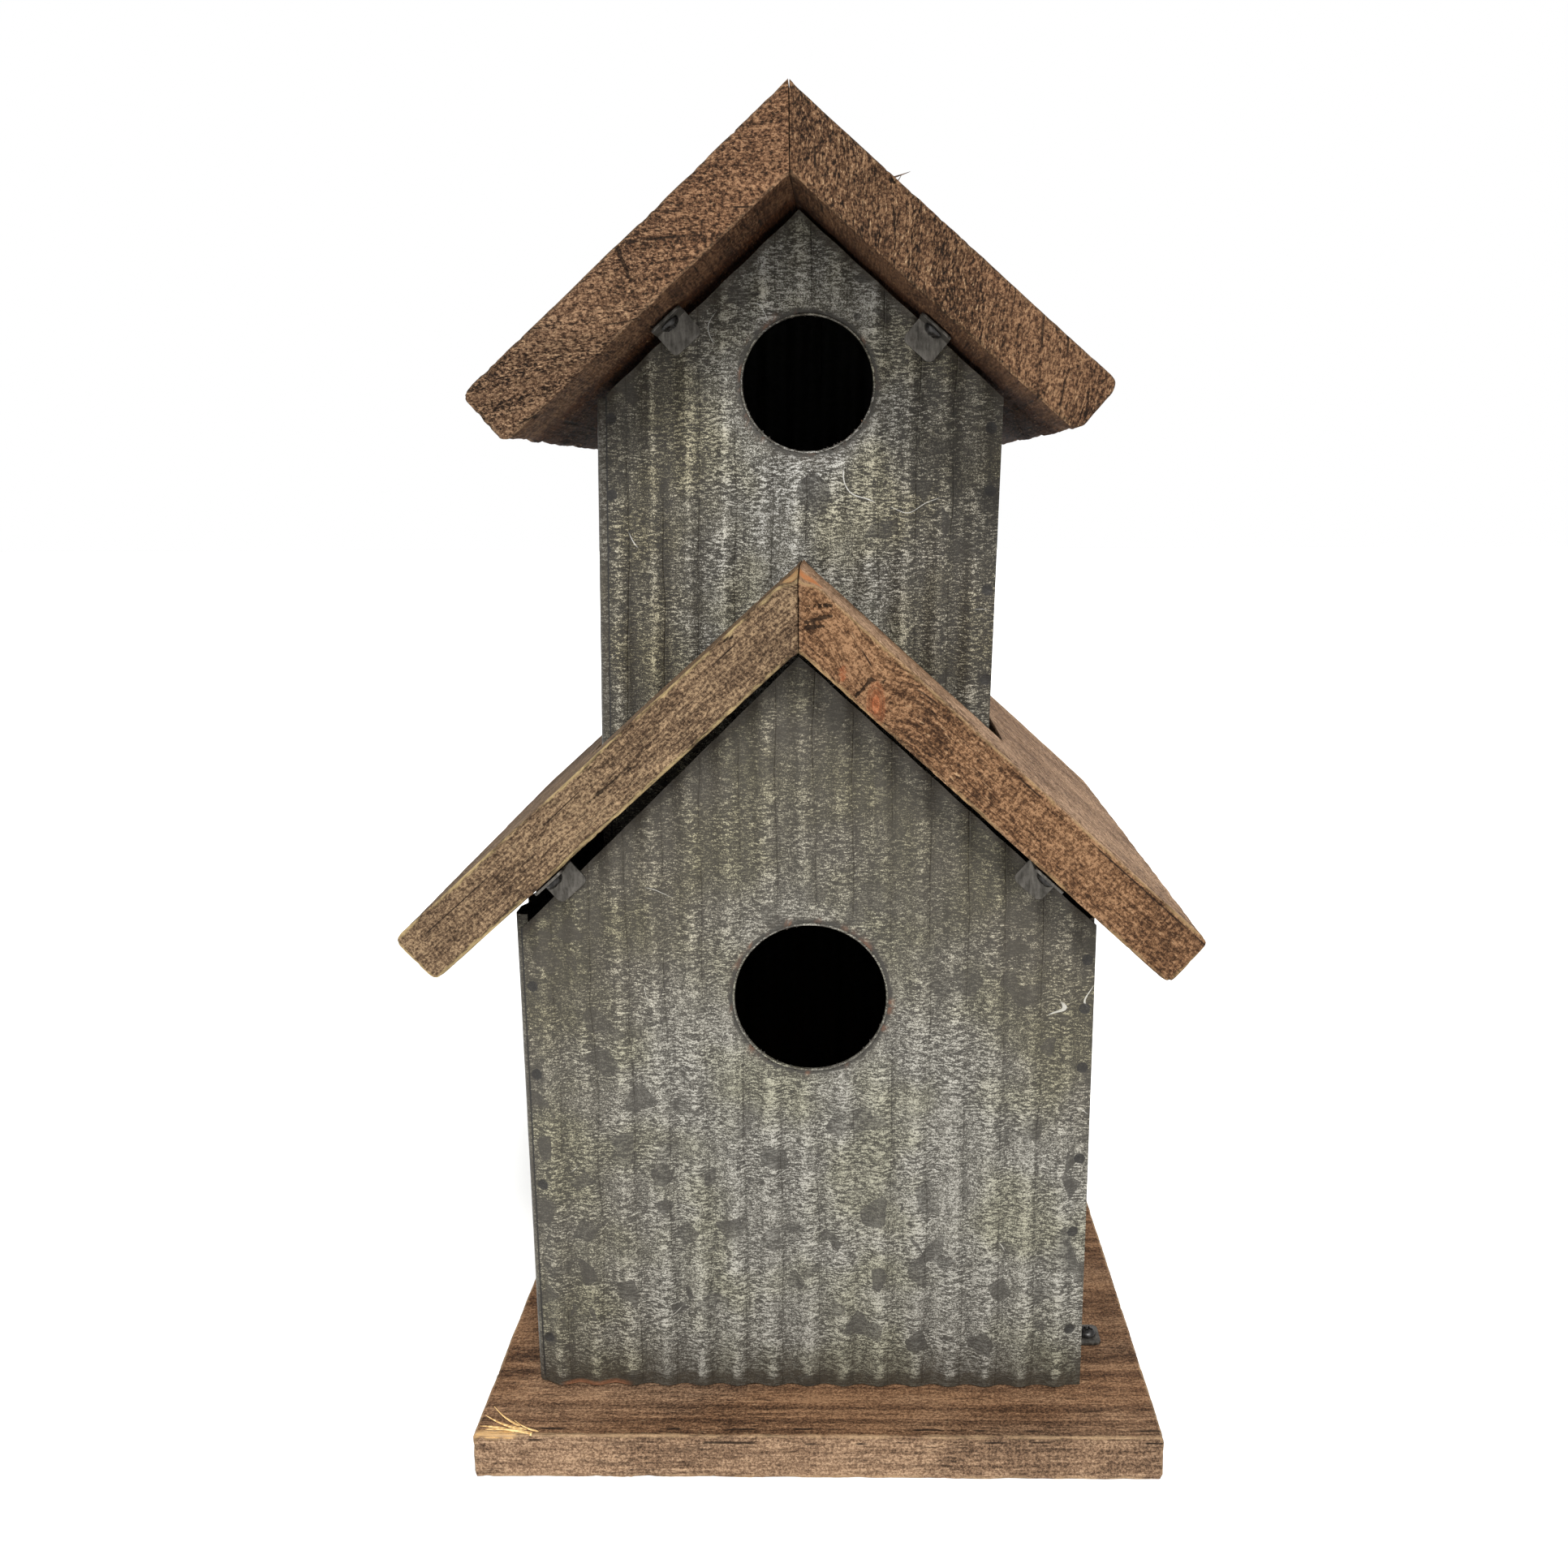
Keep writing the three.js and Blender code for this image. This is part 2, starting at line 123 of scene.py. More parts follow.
def object_from(name, points, faces, flip=False):
    mesh = bpy.data.meshes.new(name)
    if flip:
        faces = [f[::-1] for f in faces]
    mesh.from_pydata([tuple(p) for p in points], [], [tuple(int(i) for i in f) for f in faces])
    mesh.update()
    obj = bpy.data.objects.new(name, mesh)
    bpy.context.scene.collection.objects.link(obj)
    return obj


def grid_quads(columns, rows):
    """The squares of a grid whose points are listed column by column."""
    grid = np.arange(columns * rows).reshape(columns, rows)
    return np.stack([grid[:-1, :-1], grid[1:, :-1], grid[1:, 1:], grid[:-1, 1:]], -1).reshape(-1, 4)


def face_outwards(obj):
    bm = bmesh.new()
    bm.from_mesh(obj.data)
    bmesh.ops.recalc_face_normals(bm, faces=bm.faces)
    bm.to_mesh(obj.data)
    bm.free()


def shade(obj, angle=40):
    mesh = obj.data
    mesh.polygons.foreach_set("use_smooth", [True] * len(mesh.polygons))
    mesh.set_sharp_from_angle(angle=math.radians(angle))


def store(obj, name, values):
    """Keeps one number, or one vector, per vertex for the materials to read."""
    values = np.asarray(values, np.float32)
    kind, field = ("FLOAT_VECTOR", "vector") if values.ndim == 2 else ("FLOAT", "value")
    obj.data.attributes.new(name, kind, "POINT").data.foreach_set(field, values.ravel())


def positions(mesh):
    co = np.empty(len(mesh.vertices) * 3)
    mesh.vertices.foreach_get("co", co)
    return co.reshape(-1, 3)


def node_points(node):
    return positions(NODES[node].data)


def joined_copy(node):
    """A CAD node's mesh as a bmesh, its split corners joined."""
    bm = bmesh.new()
    bm.from_mesh(NODES[node].data)
    bmesh.ops.remove_doubles(bm, verts=bm.verts, dist=2e-6)
    return bm


def place_piece(obj, material):
    """Gives a finished piece its finish and its place on the frame."""
    obj.data.materials.clear()
    obj.data.materials.append(material)
    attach(obj, "root")


def settle(obj, node, material):
    """Places a finished piece and hides the CAD node it replaces."""
    place_piece(obj, material)
    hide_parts(node)


# ---------------------------------------------------------------- materials

def srgb(code):
    channels = [int(code[i:i + 2], 16) / 255 for i in (0, 2, 4)]
    return tuple(c / 12.92 if c <= 0.04045 else ((c + 0.055) / 1.055) ** 2.4 for c in channels) + (1,)


COLOURS = {name: srgb(code) for name, code in {
    "grime_shade_dark": "17140d", "grime_shade_light": "383024", "hole_rim": "2b2822", "rust_dark": "4a2c1c",
    "rust_light": "93603f", "gap_shade": "12100d", "weld_spot": "181512", "inside": "0d0c0b",
    "underside": "9c7d59", "glint": "b39674", "knot_dark": "4a2612", "knot_light": "925232", "hollow_shade": "150d07",
}.items()}
# a warm tint laid over the painted shade: painted bounce light from the wood
SHADE_BOUNCE_TINT = (1.04, 0.98, 0.84, 1)
RIDGE_TINT = (1.02, 0.93, 0.86, 1)


class Shader:
    """A material under construction: each method adds a node and returns its output."""

    def __init__(self, name, **fixed):
        self.material = bpy.data.materials.new(name)
        self.material.use_nodes = True
        self.tree = self.material.node_tree
        self.surface = self.tree.nodes["Principled BSDF"]
        for key, value in fixed.items():
            self.surface.inputs[key.replace("_", " ")].default_value = value

    def add(self, kind, inputs, output=0, **settings):
        node = self.tree.nodes.new(kind)
        for key, value in settings.items():
            setattr(node, key, value)
        for key, value in inputs.items():
            self.join(node.inputs[key], value)
        return node.outputs[output]

    def join(self, socket, value):
        if isinstance(value, bpy.types.NodeSocket):
            self.tree.links.new(value, socket)
        else:
            socket.default_value = value

    def set(self, key, value):
        self.join(self.surface.inputs[key], value)

    def attribute(self, name, vector=False):
        return self.add("ShaderNodeAttribute", {}, "Vector" if vector else "Fac", attribute_name=name)

    def place(self):
        return self.add("ShaderNodeTexCoord", {}, "Object")

    def vectors(self, operation, a, b):
        return self.add("ShaderNodeVectorMath", {0: a, 1: b}, operation=operation)

    def noise(self, vector, scale=1, detail=2, roughness=0.5, output="Fac"):
        inputs = {"Vector": vector, "Scale": scale, "Detail": detail, "Roughness": roughness}
        return self.add("ShaderNodeTexNoise", inputs, output)

    def streaks(self, vector, scales, detail=2, roughness=0.5):
        """Noise with its own scale along each axis."""
        return self.noise(self.vectors("MULTIPLY", vector, scales), 1, detail, roughness)

    def line_noise(self, along, scale, detail=2, roughness=0.5):
        inputs = {"W": along, "Scale": scale, "Detail": detail, "Roughness": roughness}
        return self.add("ShaderNodeTexNoise", inputs, "Fac", noise_dimensions="1D")

    def cell_tone(self, vector, scale):
        """A random number for each cell of a Voronoi pattern."""
        cells = self.add("ShaderNodeTexVoronoi", {"Vector": vector, "Scale": scale}, "Color")
        return self.add("ShaderNodeSeparateColor", {0: cells})

    def math(self, operation, *values, clamp=False):
        return self.add("ShaderNodeMath", dict(enumerate(values)), operation=operation, use_clamp=clamp)

    def chain(self, operation, terms, clamp=False):
        total, *others = terms
        for count, term in enumerate(others, 1):
            total = self.math(operation, total, term, clamp=clamp and count == len(others))
        return total

    def plus(self, *terms, clamp=False):
        return self.chain("ADD", terms, clamp)

    def times(self, *terms):
        return self.chain("MULTIPLY", terms)

    def highest(self, *terms):
        return self.chain("MAXIMUM", terms)

    def fit(self, value, low, high, to_low=0.0, to_high=1.0):
        """A smooth step that starts at low and ends at high."""
        inputs = {0: value, 1: low, 2: high, 3: to_low, 4: to_high}
        return self.add("ShaderNodeMapRange", inputs, interpolation_type="SMOOTHSTEP")

    def swing(self, value, low, high, amount):
        """A smooth step from -amount to amount."""
        return self.fit(value, low, high, -amount, amount)

    def mix(self, factor, a, b, blend="MIX"):
        node = self.tree.nodes.new("ShaderNodeMix")
        node.data_type = "RGBA"
        node.blend_type = blend
        self.join(node.inputs[0], factor)
        self.join(node.inputs[6], a)
        self.join(node.inputs[7], b)
        return node.outputs[2]

    def ramp(self, tone, dark, mid, light):
        lower = self.mix(self.fit(tone, 0, 0.5), dark, mid)
        return self.mix(self.fit(tone, 0.5, 1.0), lower, light)

    def tinted(self, factor, colour, tint):
        return self.mix(factor, colour, self.mix(1.0, colour, tint, "MULTIPLY"))

    def bump(self, height, distance, strength=1.0):
        inputs = {"Height": height, "Distance": distance, "Strength": strength}
        self.set("Normal", self.add("ShaderNodeBump", inputs))


def galvanised(name, tones, warm, frost_and_sheen_strength, flake_share, speckle_size, rib_shading):
    """Aged zinc: spangle flakes, fine crinkles, streaks down the sheet, and a painted highlight along each
    rib's top with painted shade beside it.
    """
    pale, mid, dark = map(srgb, tones)
    s = Shader(name, Metallic=0.35)
    place = s.place()
    shift = s.vectors("MULTIPLY", s.noise(place, 110, 2, output="Color"), (MM, MM, MM))
    bent = s.vectors("ADD", place, shift)
    flake_tone = s.cell_tone(bent, 145)
    flakes = s.times(s.fit(flake_tone, 1 - flake_share, 1.005 - flake_share),
                     s.fit(s.noise(place, 18, 2), 0.40, 0.54), s.fit(flake_tone, 1 - flake_share, 1, 0.7, 1))
    speckle = s.noise(place, 1 / speckle_size, 3, 0.8)
    grit = s.noise(place, 2.1 / speckle_size, 1, 0.6)
    grains = s.fit(s.noise(place, 0.9 / speckle_size, 2, 0.8), 0.46, 0.58)
    hatch = s.streaks(place, (430, 430, 1700), 3, 0.7)
    hatch_zone = s.fit(s.noise(place, 55, 2), 0.34, 0.58, 0.45, 1.0)
    cracks = s.fit(s.streaks(place, (800, 800, 2300), 2, 0.7), 0.45, 0.37)
    painted_shade = s.attribute("painted_shade")

    # each rib has a painted highlight along its top, painted shade in the trough beside it and a thin broken
    # line of painted shade
    phase = s.plus(s.attribute("rib"), s.swing(s.streaks(place, (60, 60, 30)), 0, 1, 0.10))
    ribbed = s.attribute("ribbed")

    def rib_band(centre, reach):
        turn = s.math("FRACT", s.plus(phase, 1.5 - centre))
        away = s.math("ABSOLUTE", s.plus(turn, -0.5))
        return s.times(s.fit(away, 0, reach, 1, 0), ribbed)

    crest_highlight = rib_band(0, rib_shading["reach"])
    valley_shade = rib_band(0.38, 0.26)
    broken = s.fit(s.streaks(place, (90, 90, 45), 3, 0.7), 0.36, 0.54)
    crease_shade = s.times(rib_band(0.30, 0.035), broken)

    tone = s.plus(
        s.fit(speckle, 0.38, 0.62, -0.30, 0.28),
        s.swing(grit, 0.38, 0.62, 0.28),
        s.times(cracks, -0.34),
        s.times(s.fit(hatch, 0.38, 0.62, -0.55, 0.42), hatch_zone),
        s.swing(s.streaks(place, (420, 420, 10), 3, 0.6), 0.3, 0.7, 0.10),
        s.swing(s.noise(place, 26, 3), 0.3, 0.7, 0.03),
        s.swing(s.cell_tone(bent, 300), 0, 1, 0.07),
        s.times(crest_highlight, rib_shading["light"]),
        s.times(valley_shade, -rib_shading["dark"]),
        # painted shade: darker under the roofs and towards the sides
        s.times(painted_shade, -0.42),
        # pale frost, gathered mostly on the rib tops: real pale bloom with a painted highlight over it
        s.times(s.plus(s.times(crest_highlight, 0.8), 0.2), s.attribute("frost_and_sheen"), grains, frost_and_sheen_strength),
        s.times(crease_shade, -0.18),
        0.51, clamp=True)
    colour = s.ramp(tone, dark, mid, pale)
    colour = s.tinted(s.fit(s.noise(place, 32, 2), 0.4, 0.65), colour, srgb(warm))
    colour = s.mix(s.times(flakes, 0.84), colour, dark)
    colour = s.tinted(painted_shade, colour, SHADE_BOUNCE_TINT)
    scratch = s.math("COMPARE", s.noise(place, 21, 1), 0.5, 0.0012)
    colour = s.mix(s.times(scratch, s.fit(s.noise(place, 55, 1), 0.60, 0.66)), colour, pale)

    # darkening at the foot and round the hole, with painted shade under the roofs and along the seams
    grime_and_shade = s.mix(s.noise(place, 500, 3), COLOURS["grime_shade_dark"], COLOURS["grime_shade_light"])
    colour = s.mix(s.attribute("grime_and_shade"), colour, grime_and_shade)
    rim = s.plus(s.attribute("rim_distance"), s.swing(s.noise(place, 420, 3, 0.7), 0, 1, 1.2 * MM))
    colour = s.mix(s.fit(rim, 2.2 * MM, 0.9 * MM), colour, COLOURS["hole_rim"])
    rust = s.mix(s.noise(place, 900, 3), COLOURS["rust_dark"], COLOURS["rust_light"])
    colour = s.mix(s.attribute("rust"), colour, rust)
    # a dark line along the panel's left edge: painted shade in the gap beside the side sheet
    edge = s.fit(s.attribute("edge_distance"), 1.0 * MM, 0.4 * MM)
    colour = s.mix(edge, colour, COLOURS["gap_shade"])
    spot = s.times(s.fit(s.attribute("spot_distance"), 2.1 * MM, 1.6 * MM), 0.92)
    colour = s.mix(spot, colour, COLOURS["weld_spot"])
    # the inward face is painted near-black: painted shade inside the box
    s.set("Base Color", s.mix(s.attribute("inside"), colour, COLOURS["inside"]))
    s.set("Roughness", s.fit(speckle, 0.3, 0.7, 0.62, 0.44))
    s.bump(s.plus(s.times(hatch, 0.7), s.times(speckle, 0.6), s.times(flake_tone, 0.05), s.times(crease_shade, -0.5)),
           0.30 * MM)
    return s.material


def wood(name, tones, look):
    """Weathered plank: rings and fibres from the grain field, saw marks, dark pits and pale worn edges.
    lump is how far a feature runs across the fibres: lines on a long face, lumps on an end face."""
    dark, mid, light, edge = map(srgb, tones)
    s = Shader(name, Specular_IOR_Level=0.12)
    fibres = s.attribute("fibres", vector=True)
    offset = [look["seed"] / 100 * share for share in (0.37, 0.61, 0.23)]
    place = s.vectors("ADD", s.attribute("board", vector=True), offset)
    grain = s.add("ShaderNodeSeparateXYZ", {0: fibres})
    sawn, flat_face_tint = s.attribute("sawn"), s.attribute("flat_face_tint")
    fibre = s.streaks(fibres, (1900, 500, 85), 4, 0.7)
    grit = s.streaks(fibres, look["grit_size"], 2, 0.7)
    lumps = s.streaks(fibres, look["lump"], 3, 0.68)
    rings = s.line_noise(grain, 320, 2, 0.55)
    saw = s.streaks(place, (620, 40, 40), 2, 0.6)
    patches = s.noise(place, 75, 4, 0.6)
    speckle = s.noise(place, 1050, 3, 0.8)
    rows = s.line_noise(grain, look["row_scale"], 2, 0.6)
    rows = s.fit(rows, 0.40, 0.56, 1 - look["row_share"], 1)
    coarse = s.times(s.plus(s.times(sawn, 0.75), 0.25), rows)

    tone = s.plus(
        s.swing(rings, 0.3, 0.7, 0.09),
        s.times(s.swing(rings, 0.3, 0.7, look["top_rings"]), flat_face_tint),
        s.swing(fibre, 0.28, 0.72, 0.20),
        s.times(s.swing(grit, 0.34, 0.62, look["grit"]), coarse),
        s.times(s.swing(lumps, 0.35, 0.65, look["lump_tone"]), coarse),
        s.swing(saw, 0.3, 0.7, look["saw"]),
        s.swing(s.noise(place, 24, 3), 0.3, 0.7, 0.12),
        s.swing(patches, 0.3, 0.7, 0.09),
        s.swing(speckle, 0.40, 0.60, look["speckle"]),
        0.5, clamp=True)
    colour = s.ramp(tone, dark, mid, light)
    # flat faces take the look's stain tint in patches: lighter and greyer on the lower right board's top,
    # darker on the base top
    colour = s.tinted(flat_face_tint, colour, look["stain"])
    colour = s.tinted(s.attribute("ridge_side"), colour, RIDGE_TINT)
    # painted shade on the roof boards' undersides, deepest behind the gable
    colour = s.tinted(s.attribute("under"), colour, COLOURS["underside"])
    glints = s.times(s.fit(grit, 0.57, 0.64), s.fit(lumps, 0.50, 0.60), sawn, 0.8)
    colour = s.mix(glints, colour, COLOURS["glint"])
    colour = s.mix(s.attribute("bared"), colour, s.mix(s.fit(fibre, 0.3, 0.7), srgb(look["bare"]), edge))
    knot_rings = s.fit(s.line_noise(s.attribute("knot_distance"), 900), 0.35, 0.65)
    knot_colour = s.mix(knot_rings, COLOURS["knot_dark"], COLOURS["knot_light"])
    colour = s.mix(s.times(s.attribute("knot"), 0.62), colour, knot_colour)
    rim = s.plus(s.attribute("rim"), s.swing(s.noise(place, 260, 3, 0.7), 0, 1, 0.9 * MM))
    worn = s.times(s.fit(rim, 1.5 * MM, 0.4 * MM), look["edge_pale"], s.fit(patches, 0.36, 0.54))
    colour = s.mix(worn, colour, edge)

    checks = s.times(s.fit(s.line_noise(grain, 700, 1), 0.28, 0.22), s.fit(s.noise(place, 60, 2), 0.52, 0.60))
    pits = s.times(s.fit(lumps, 0.455, 0.375), sawn, rows)
    cut = s.plus(s.attribute("cut_distance"), s.swing(s.noise(place, 900, 2), 0, 1, 0.4 * MM))
    # checks, pits, cavities and cuts are painted near-black: painted shade in the hollows, on top of their
    # relief and bump
    hollow = s.highest(checks, pits, s.attribute("cavity"), s.fit(cut, 0.6 * MM, 0.3 * MM))
    s.set("Base Color", s.mix(s.times(hollow, 0.85), colour, COLOURS["hollow_shade"]))
    s.set("Roughness", s.fit(fibre, 0.2, 0.8, 0.95, 0.75))
    s.bump(s.plus(s.times(fibre, 0.5), s.times(speckle, 0.6), s.times(saw, 0.2), s.times(lumps, sawn, 1.8),
                  s.times(grit, coarse), s.times(hollow, -0.7)), 1.0 * MM)
    return s.material


def bare_steel(name, pale, dark, roughness):
    s = Shader(name, Metallic=0.7)
    place = s.place()
    scratch = s.streaks(place, (900, 900, 200), 3, 0.6)
    stain = s.noise(place, 500, 4, 0.7)
    shine = s.fit(s.plus(s.times(scratch, 0.6), s.times(stain, 0.5)), 0.35, 0.8)
    s.set("Base Color", s.mix(shine, srgb(dark), srgb(pale)))
    s.set("Roughness", s.fit(stain, 0.3, 0.7, roughness - 0.1, roughness + 0.15))
    s.bump(scratch, 0.08 * MM, 0.6)
    return s.material


def splinter_wood(name, dark, light):
    s = Shader(name, Roughness=0.8)
    s.set("Base Color", s.mix(s.fit(s.noise(s.place(), 900, 3), 0.3, 0.7), srgb(dark), srgb(light)))
    return s.material


# ---------------------------------------------------------------- sheet panels

def sheet_object(name, outer, inner, quads, flip):
    """A closed sheet from matching outer and inner grids of points and the quads kept on them.
    Also says which of the points are kept."""
    count = len(outer)
    faces = [tuple(q) for q in quads] + [tuple(count + i for i in q[::-1]) for q in quads]
    edges = {}
    for q in quads:
        for a, b in zip(q, np.roll(q, -1)):
            if edges.pop((b, a), None) is None:
                edges[(a, b)] = True
    faces += [(b, a, a + count, b + count) for a, b in edges]
    obj = object_from(name, np.vstack([outer, inner]), faces, flip)
    bm = bmesh.new()
    bm.from_mesh(obj.data)
    keep = np.array([len(v.link_faces) > 0 for v in bm.verts])
    bmesh.ops.delete(bm, geom=[v for v in bm.verts if not v.link_faces], context="VERTS")
    bm.to_mesh(obj.data)
    bm.free()
    shade(obj)
    return obj, keep


def lean_of(node):
    """How far a gable panel leans about Y, from its right-hand edge."""
    points = node_points(node)[:, [0, 2]]
    ring = points[convex_hull_2d([Vector(p) for p in points])]
    lines = []
    for start, end in zip(ring, np.roll(ring, -1, axis=0)):
        length = np.hypot(*(end - start))
        direction = (end - start) / max(length, 1e-9)
        if lines and abs(np.cross(lines[-1][0], direction)) < 0.05:
            lines[-1][1] += length
        else:
            lines.append([direction, length])
    if abs(np.cross(lines[-1][0], lines[0][0])) < 0.05:
        lines[0][1] += lines.pop()[1]
    sides = sorted(lines, key=lambda line: -line[1])[:5]
    upwards = max(sides, key=lambda line: line[0][1])[0]
    return math.atan2(upwards[0], upwards[1])


def upright(points, lean, back=False):
    """Turns points about Y, out of the lean of the panel or back into it."""
    turn = np.array(Matrix.Rotation(lean if back else -lean, 3, "Y"))
    return points @ turn.T


def metal_values(obj, keep, values):
    """Stores what the sheet material reads, the same on both faces, and which face looks inwards: that face is
    painted near-black as shade.
    """
    count = len(values["rib"])
    for name, value in values.items():
        store(obj, name, np.concatenate([value, value])[keep])
    store(obj, "inside", np.concatenate([np.zeros(count), np.ones(count)])[keep])


def gable_shape(node, storey, inwards):
    """What a gable panel's CAD node says of its outline, its plane and its hole, turned upright."""
    lean = lean_of(node)
    local = upright(node_points(node), lean)
    x, z = local[:, 0], local[:, 2]
    g = SimpleNamespace(lean=lean, left=x.min(), right=x.max(), bottom=z.min(), hole=None)
    g.apex = local[np.argmax(z)]
    g.eaves = z[x < g.left + 0.5 * MM].max(), z[x > g.right - 0.5 * MM].max()
    g.top_at = lambda v: np.interp(v, [g.left, g.apex[0], g.right], [g.eaves[0], g.apex[2], g.eaves[1]])
    g.face = local[:, 1].min() if inwards > 0 else local[:, 1].max()
    within = (x - g.left > HOLE_MARGIN) & (x < g.right - HOLE_MARGIN)
    within &= (z - g.bottom > HOLE_MARGIN) & (z < g.top_at(x) - 3 * HOLE_MARGIN)
    if within.sum() > 20:
        x, z = x[within], z[within]
        g.hole = (x.min() + x.max()) / 2, (z.min() + z.max()) / 2, (z.max() - z.min()) / 2
    back = upright(node_points(f"{storey}_back_panel"), lean)[:, 0]
    g.middle, g.half = (back.min() + back.max()) / 2, (back.max() - back.min()) / 2
    return g


def gable_panel(node, storey, inwards, welds, corner=0.0):
    g = gable_shape(node, storey, inwards)
    columns = np.unique(np.concatenate([
        np.linspace(g.left, g.right, round((g.right - g.left) / GRID_STEP["across"]) + 1), [g.apex[0]],
        g.left + corner * (1 - np.cos(np.linspace(0, math.pi / 2, 6)))]))
    rows = np.linspace(0, 1, round((g.eaves[0] - g.bottom) / GRID_STEP["up"]) + 1)
    reach = np.clip(corner - (columns - g.left), 0, corner)
    low = g.bottom + corner - np.sqrt(corner ** 2 - reach ** 2)
    gx, share = np.meshgrid(columns, rows, indexing="ij")
    gz = low[:, None] + share * (g.top_at(columns) - low)[:, None]
    gx, gz = gx.ravel(), gz.ravel()
    quads = grid_quads(len(columns), len(rows))

    across = gx - g.middle
    wave = 0.5 - 0.5 * np.cos(2 * math.pi * across / RIB_PITCH[storey])
    depth = RIB_HEIGHT * (1 - smooth(g.half - np.abs(across), 0, RIB_FADE) * (1 - wave))
    from_hole = np.full(len(gx), FAR)
    if g.hole:
        hole_x, hole_z, radius = g.hole
        gap = np.hypot(gx - hole_x, gz - hole_z)
        near = np.abs(gap - radius) < 0.55 * GRID_STEP["across"]
        scale = np.where(near, radius / np.maximum(gap, 1e-6), 1)
        gx = hole_x + (gx - hole_x) * scale
        gz = hole_z + (gz - hole_z) * scale
        from_hole = np.hypot(gx - hole_x, gz - hole_z) - radius
        centres = np.hypot(gx[quads].mean(1) - hole_x, gz[quads].mean(1) - hole_z)
        quads = quads[centres > radius]
    flat = smooth(from_hole, 0, HOLE_FLAT)
    depth = depth * flat + RIB_HEIGHT / 2 * (1 - flat)
    plan = np.stack([gx, np.zeros_like(gx), gz], 1)
    depth = depth + 0.16 * MM * layered(plan, 30 * MM, 5, 2)
    depth = depth + 0.10 * MM * layered(plan, (2.5 * MM, 1, 40 * MM), 7, 2)
    spot = np.full(len(gx), FAR)
    for weld_x, weld_z in welds:
        away = np.hypot(gx - weld_x, gz - weld_z)
        depth = depth + 0.35 * MM * np.exp(-(away / (1.2 * MM)) ** 2)
        spot = np.minimum(spot, away)
    outer = np.stack([gx, g.face + inwards * depth, gz], 1)
    inner = outer + np.array([0, inwards * SHEET, 0])
    obj, keep = sheet_object(f"{node}_sheet", upright(outer, g.lean, True), upright(inner, g.lean, True),
                             quads, inwards < 0)
    grime_and_shade, rust = gable_grime_and_shade(g, storey, inwards, plan, wave, from_hole)
    patchy = smooth(layered(plan, (12 * MM, 1, 45 * MM), 11, 3), -0.30, 0.35)
    metal_values(obj, keep, {
        "rib": across / RIB_PITCH[storey],
        "ribbed": smooth(g.half - np.abs(across), 1 * MM, RIB_FADE) * flat,
        "frost_and_sheen": patchy * (0.55 + 0.45 * layered(plan, (30 * MM, 1, 30 * MM), 13, 2)),
        "grime_and_shade": grime_and_shade, "rust": rust, "painted_shade": gable_painted_shade(g, storey, plan, across),
        "spot_distance": spot, "rim_distance": np.clip(from_hole, 0, FAR),
        "edge_distance": gx - g.left + 0.2 * MM,
    })
    return obj, g


def gable_grime_and_shade(g, storey, inwards, plan, wave, from_hole):
    """Darkening along the foot and round the hole, painted shade under the roof, and rust at the foot and the
    hole.
    """
    gx, height = plan[:, 0], plan[:, 2] - g.bottom
    foot = height + 1.5 * MM * layered(plan, (7 * MM, 1, 9 * MM), 3, 2)
    grime_and_shade = np.maximum(0.85 * smooth(foot, 6.5 * MM, 4 * MM), 0.5 * smooth(foot, 19 * MM, 5 * MM))
    grime_and_shade = grime_and_shade * (1 - 0.75 * smooth(wave, 0.22, 0.05) * smooth(height, 2.5 * MM, 4 * MM))
    below_roof = g.top_at(gx) - plan[:, 2]
    drift = layered(plan, 18 * MM, 21, 3)
    ragged = layered(plan, 3 * MM, 31, 3)
    # painted shade: a thin dark line just under the roof and a wider band below it; darker round the hole
    for amount, distance, start, end in (
            (0.85, below_roof + 1.2 * MM * drift, 4.5 * MM, 1.5 * MM),
            (0.30 if storey == "tower" else 0.15, below_roof + 12 * MM * drift, 26 * MM, 2 * MM),
            (0.35, from_hole + 1.5 * MM * ragged, 6 * MM, 0.5 * MM)):
        grime_and_shade = np.maximum(grime_and_shade, amount * smooth(distance, start, end))
    rust = 0.5 * smooth(from_hole, 3 * MM, 0.3 * MM) * smooth(ragged, 0.25, 0.6)
    if storey == "lower" and inwards > 0:
        foot_rust = smooth(height, 1.6 * MM, 0.6 * MM) * smooth(np.abs(gx - g.left - 18 * MM), 13 * MM, 9 * MM)
        rust = np.maximum(0.8 * foot_rust, rust)
    return grime_and_shade, rust


def gable_painted_shade(g, storey, plan, across):
    """Painted shade: the tower darker towards its sides, the lower box under its roof and down its left side.
    """
    patch = layered(plan, (25 * MM, 1, 50 * MM), 23, 2)
    if storey == "tower":
        return 0.8 * smooth(np.abs(across - 3 * MM) + 10 * MM * patch, 14 * MM, 50 * MM)
    below_roof = g.top_at(plan[:, 0]) - plan[:, 2]
    return np.maximum(smooth(below_roof + 14 * MM * patch, 105 * MM, 18 * MM),
                      0.55 * smooth(plan[:, 0] - g.left + 12 * MM * patch, 60 * MM, 5 * MM))


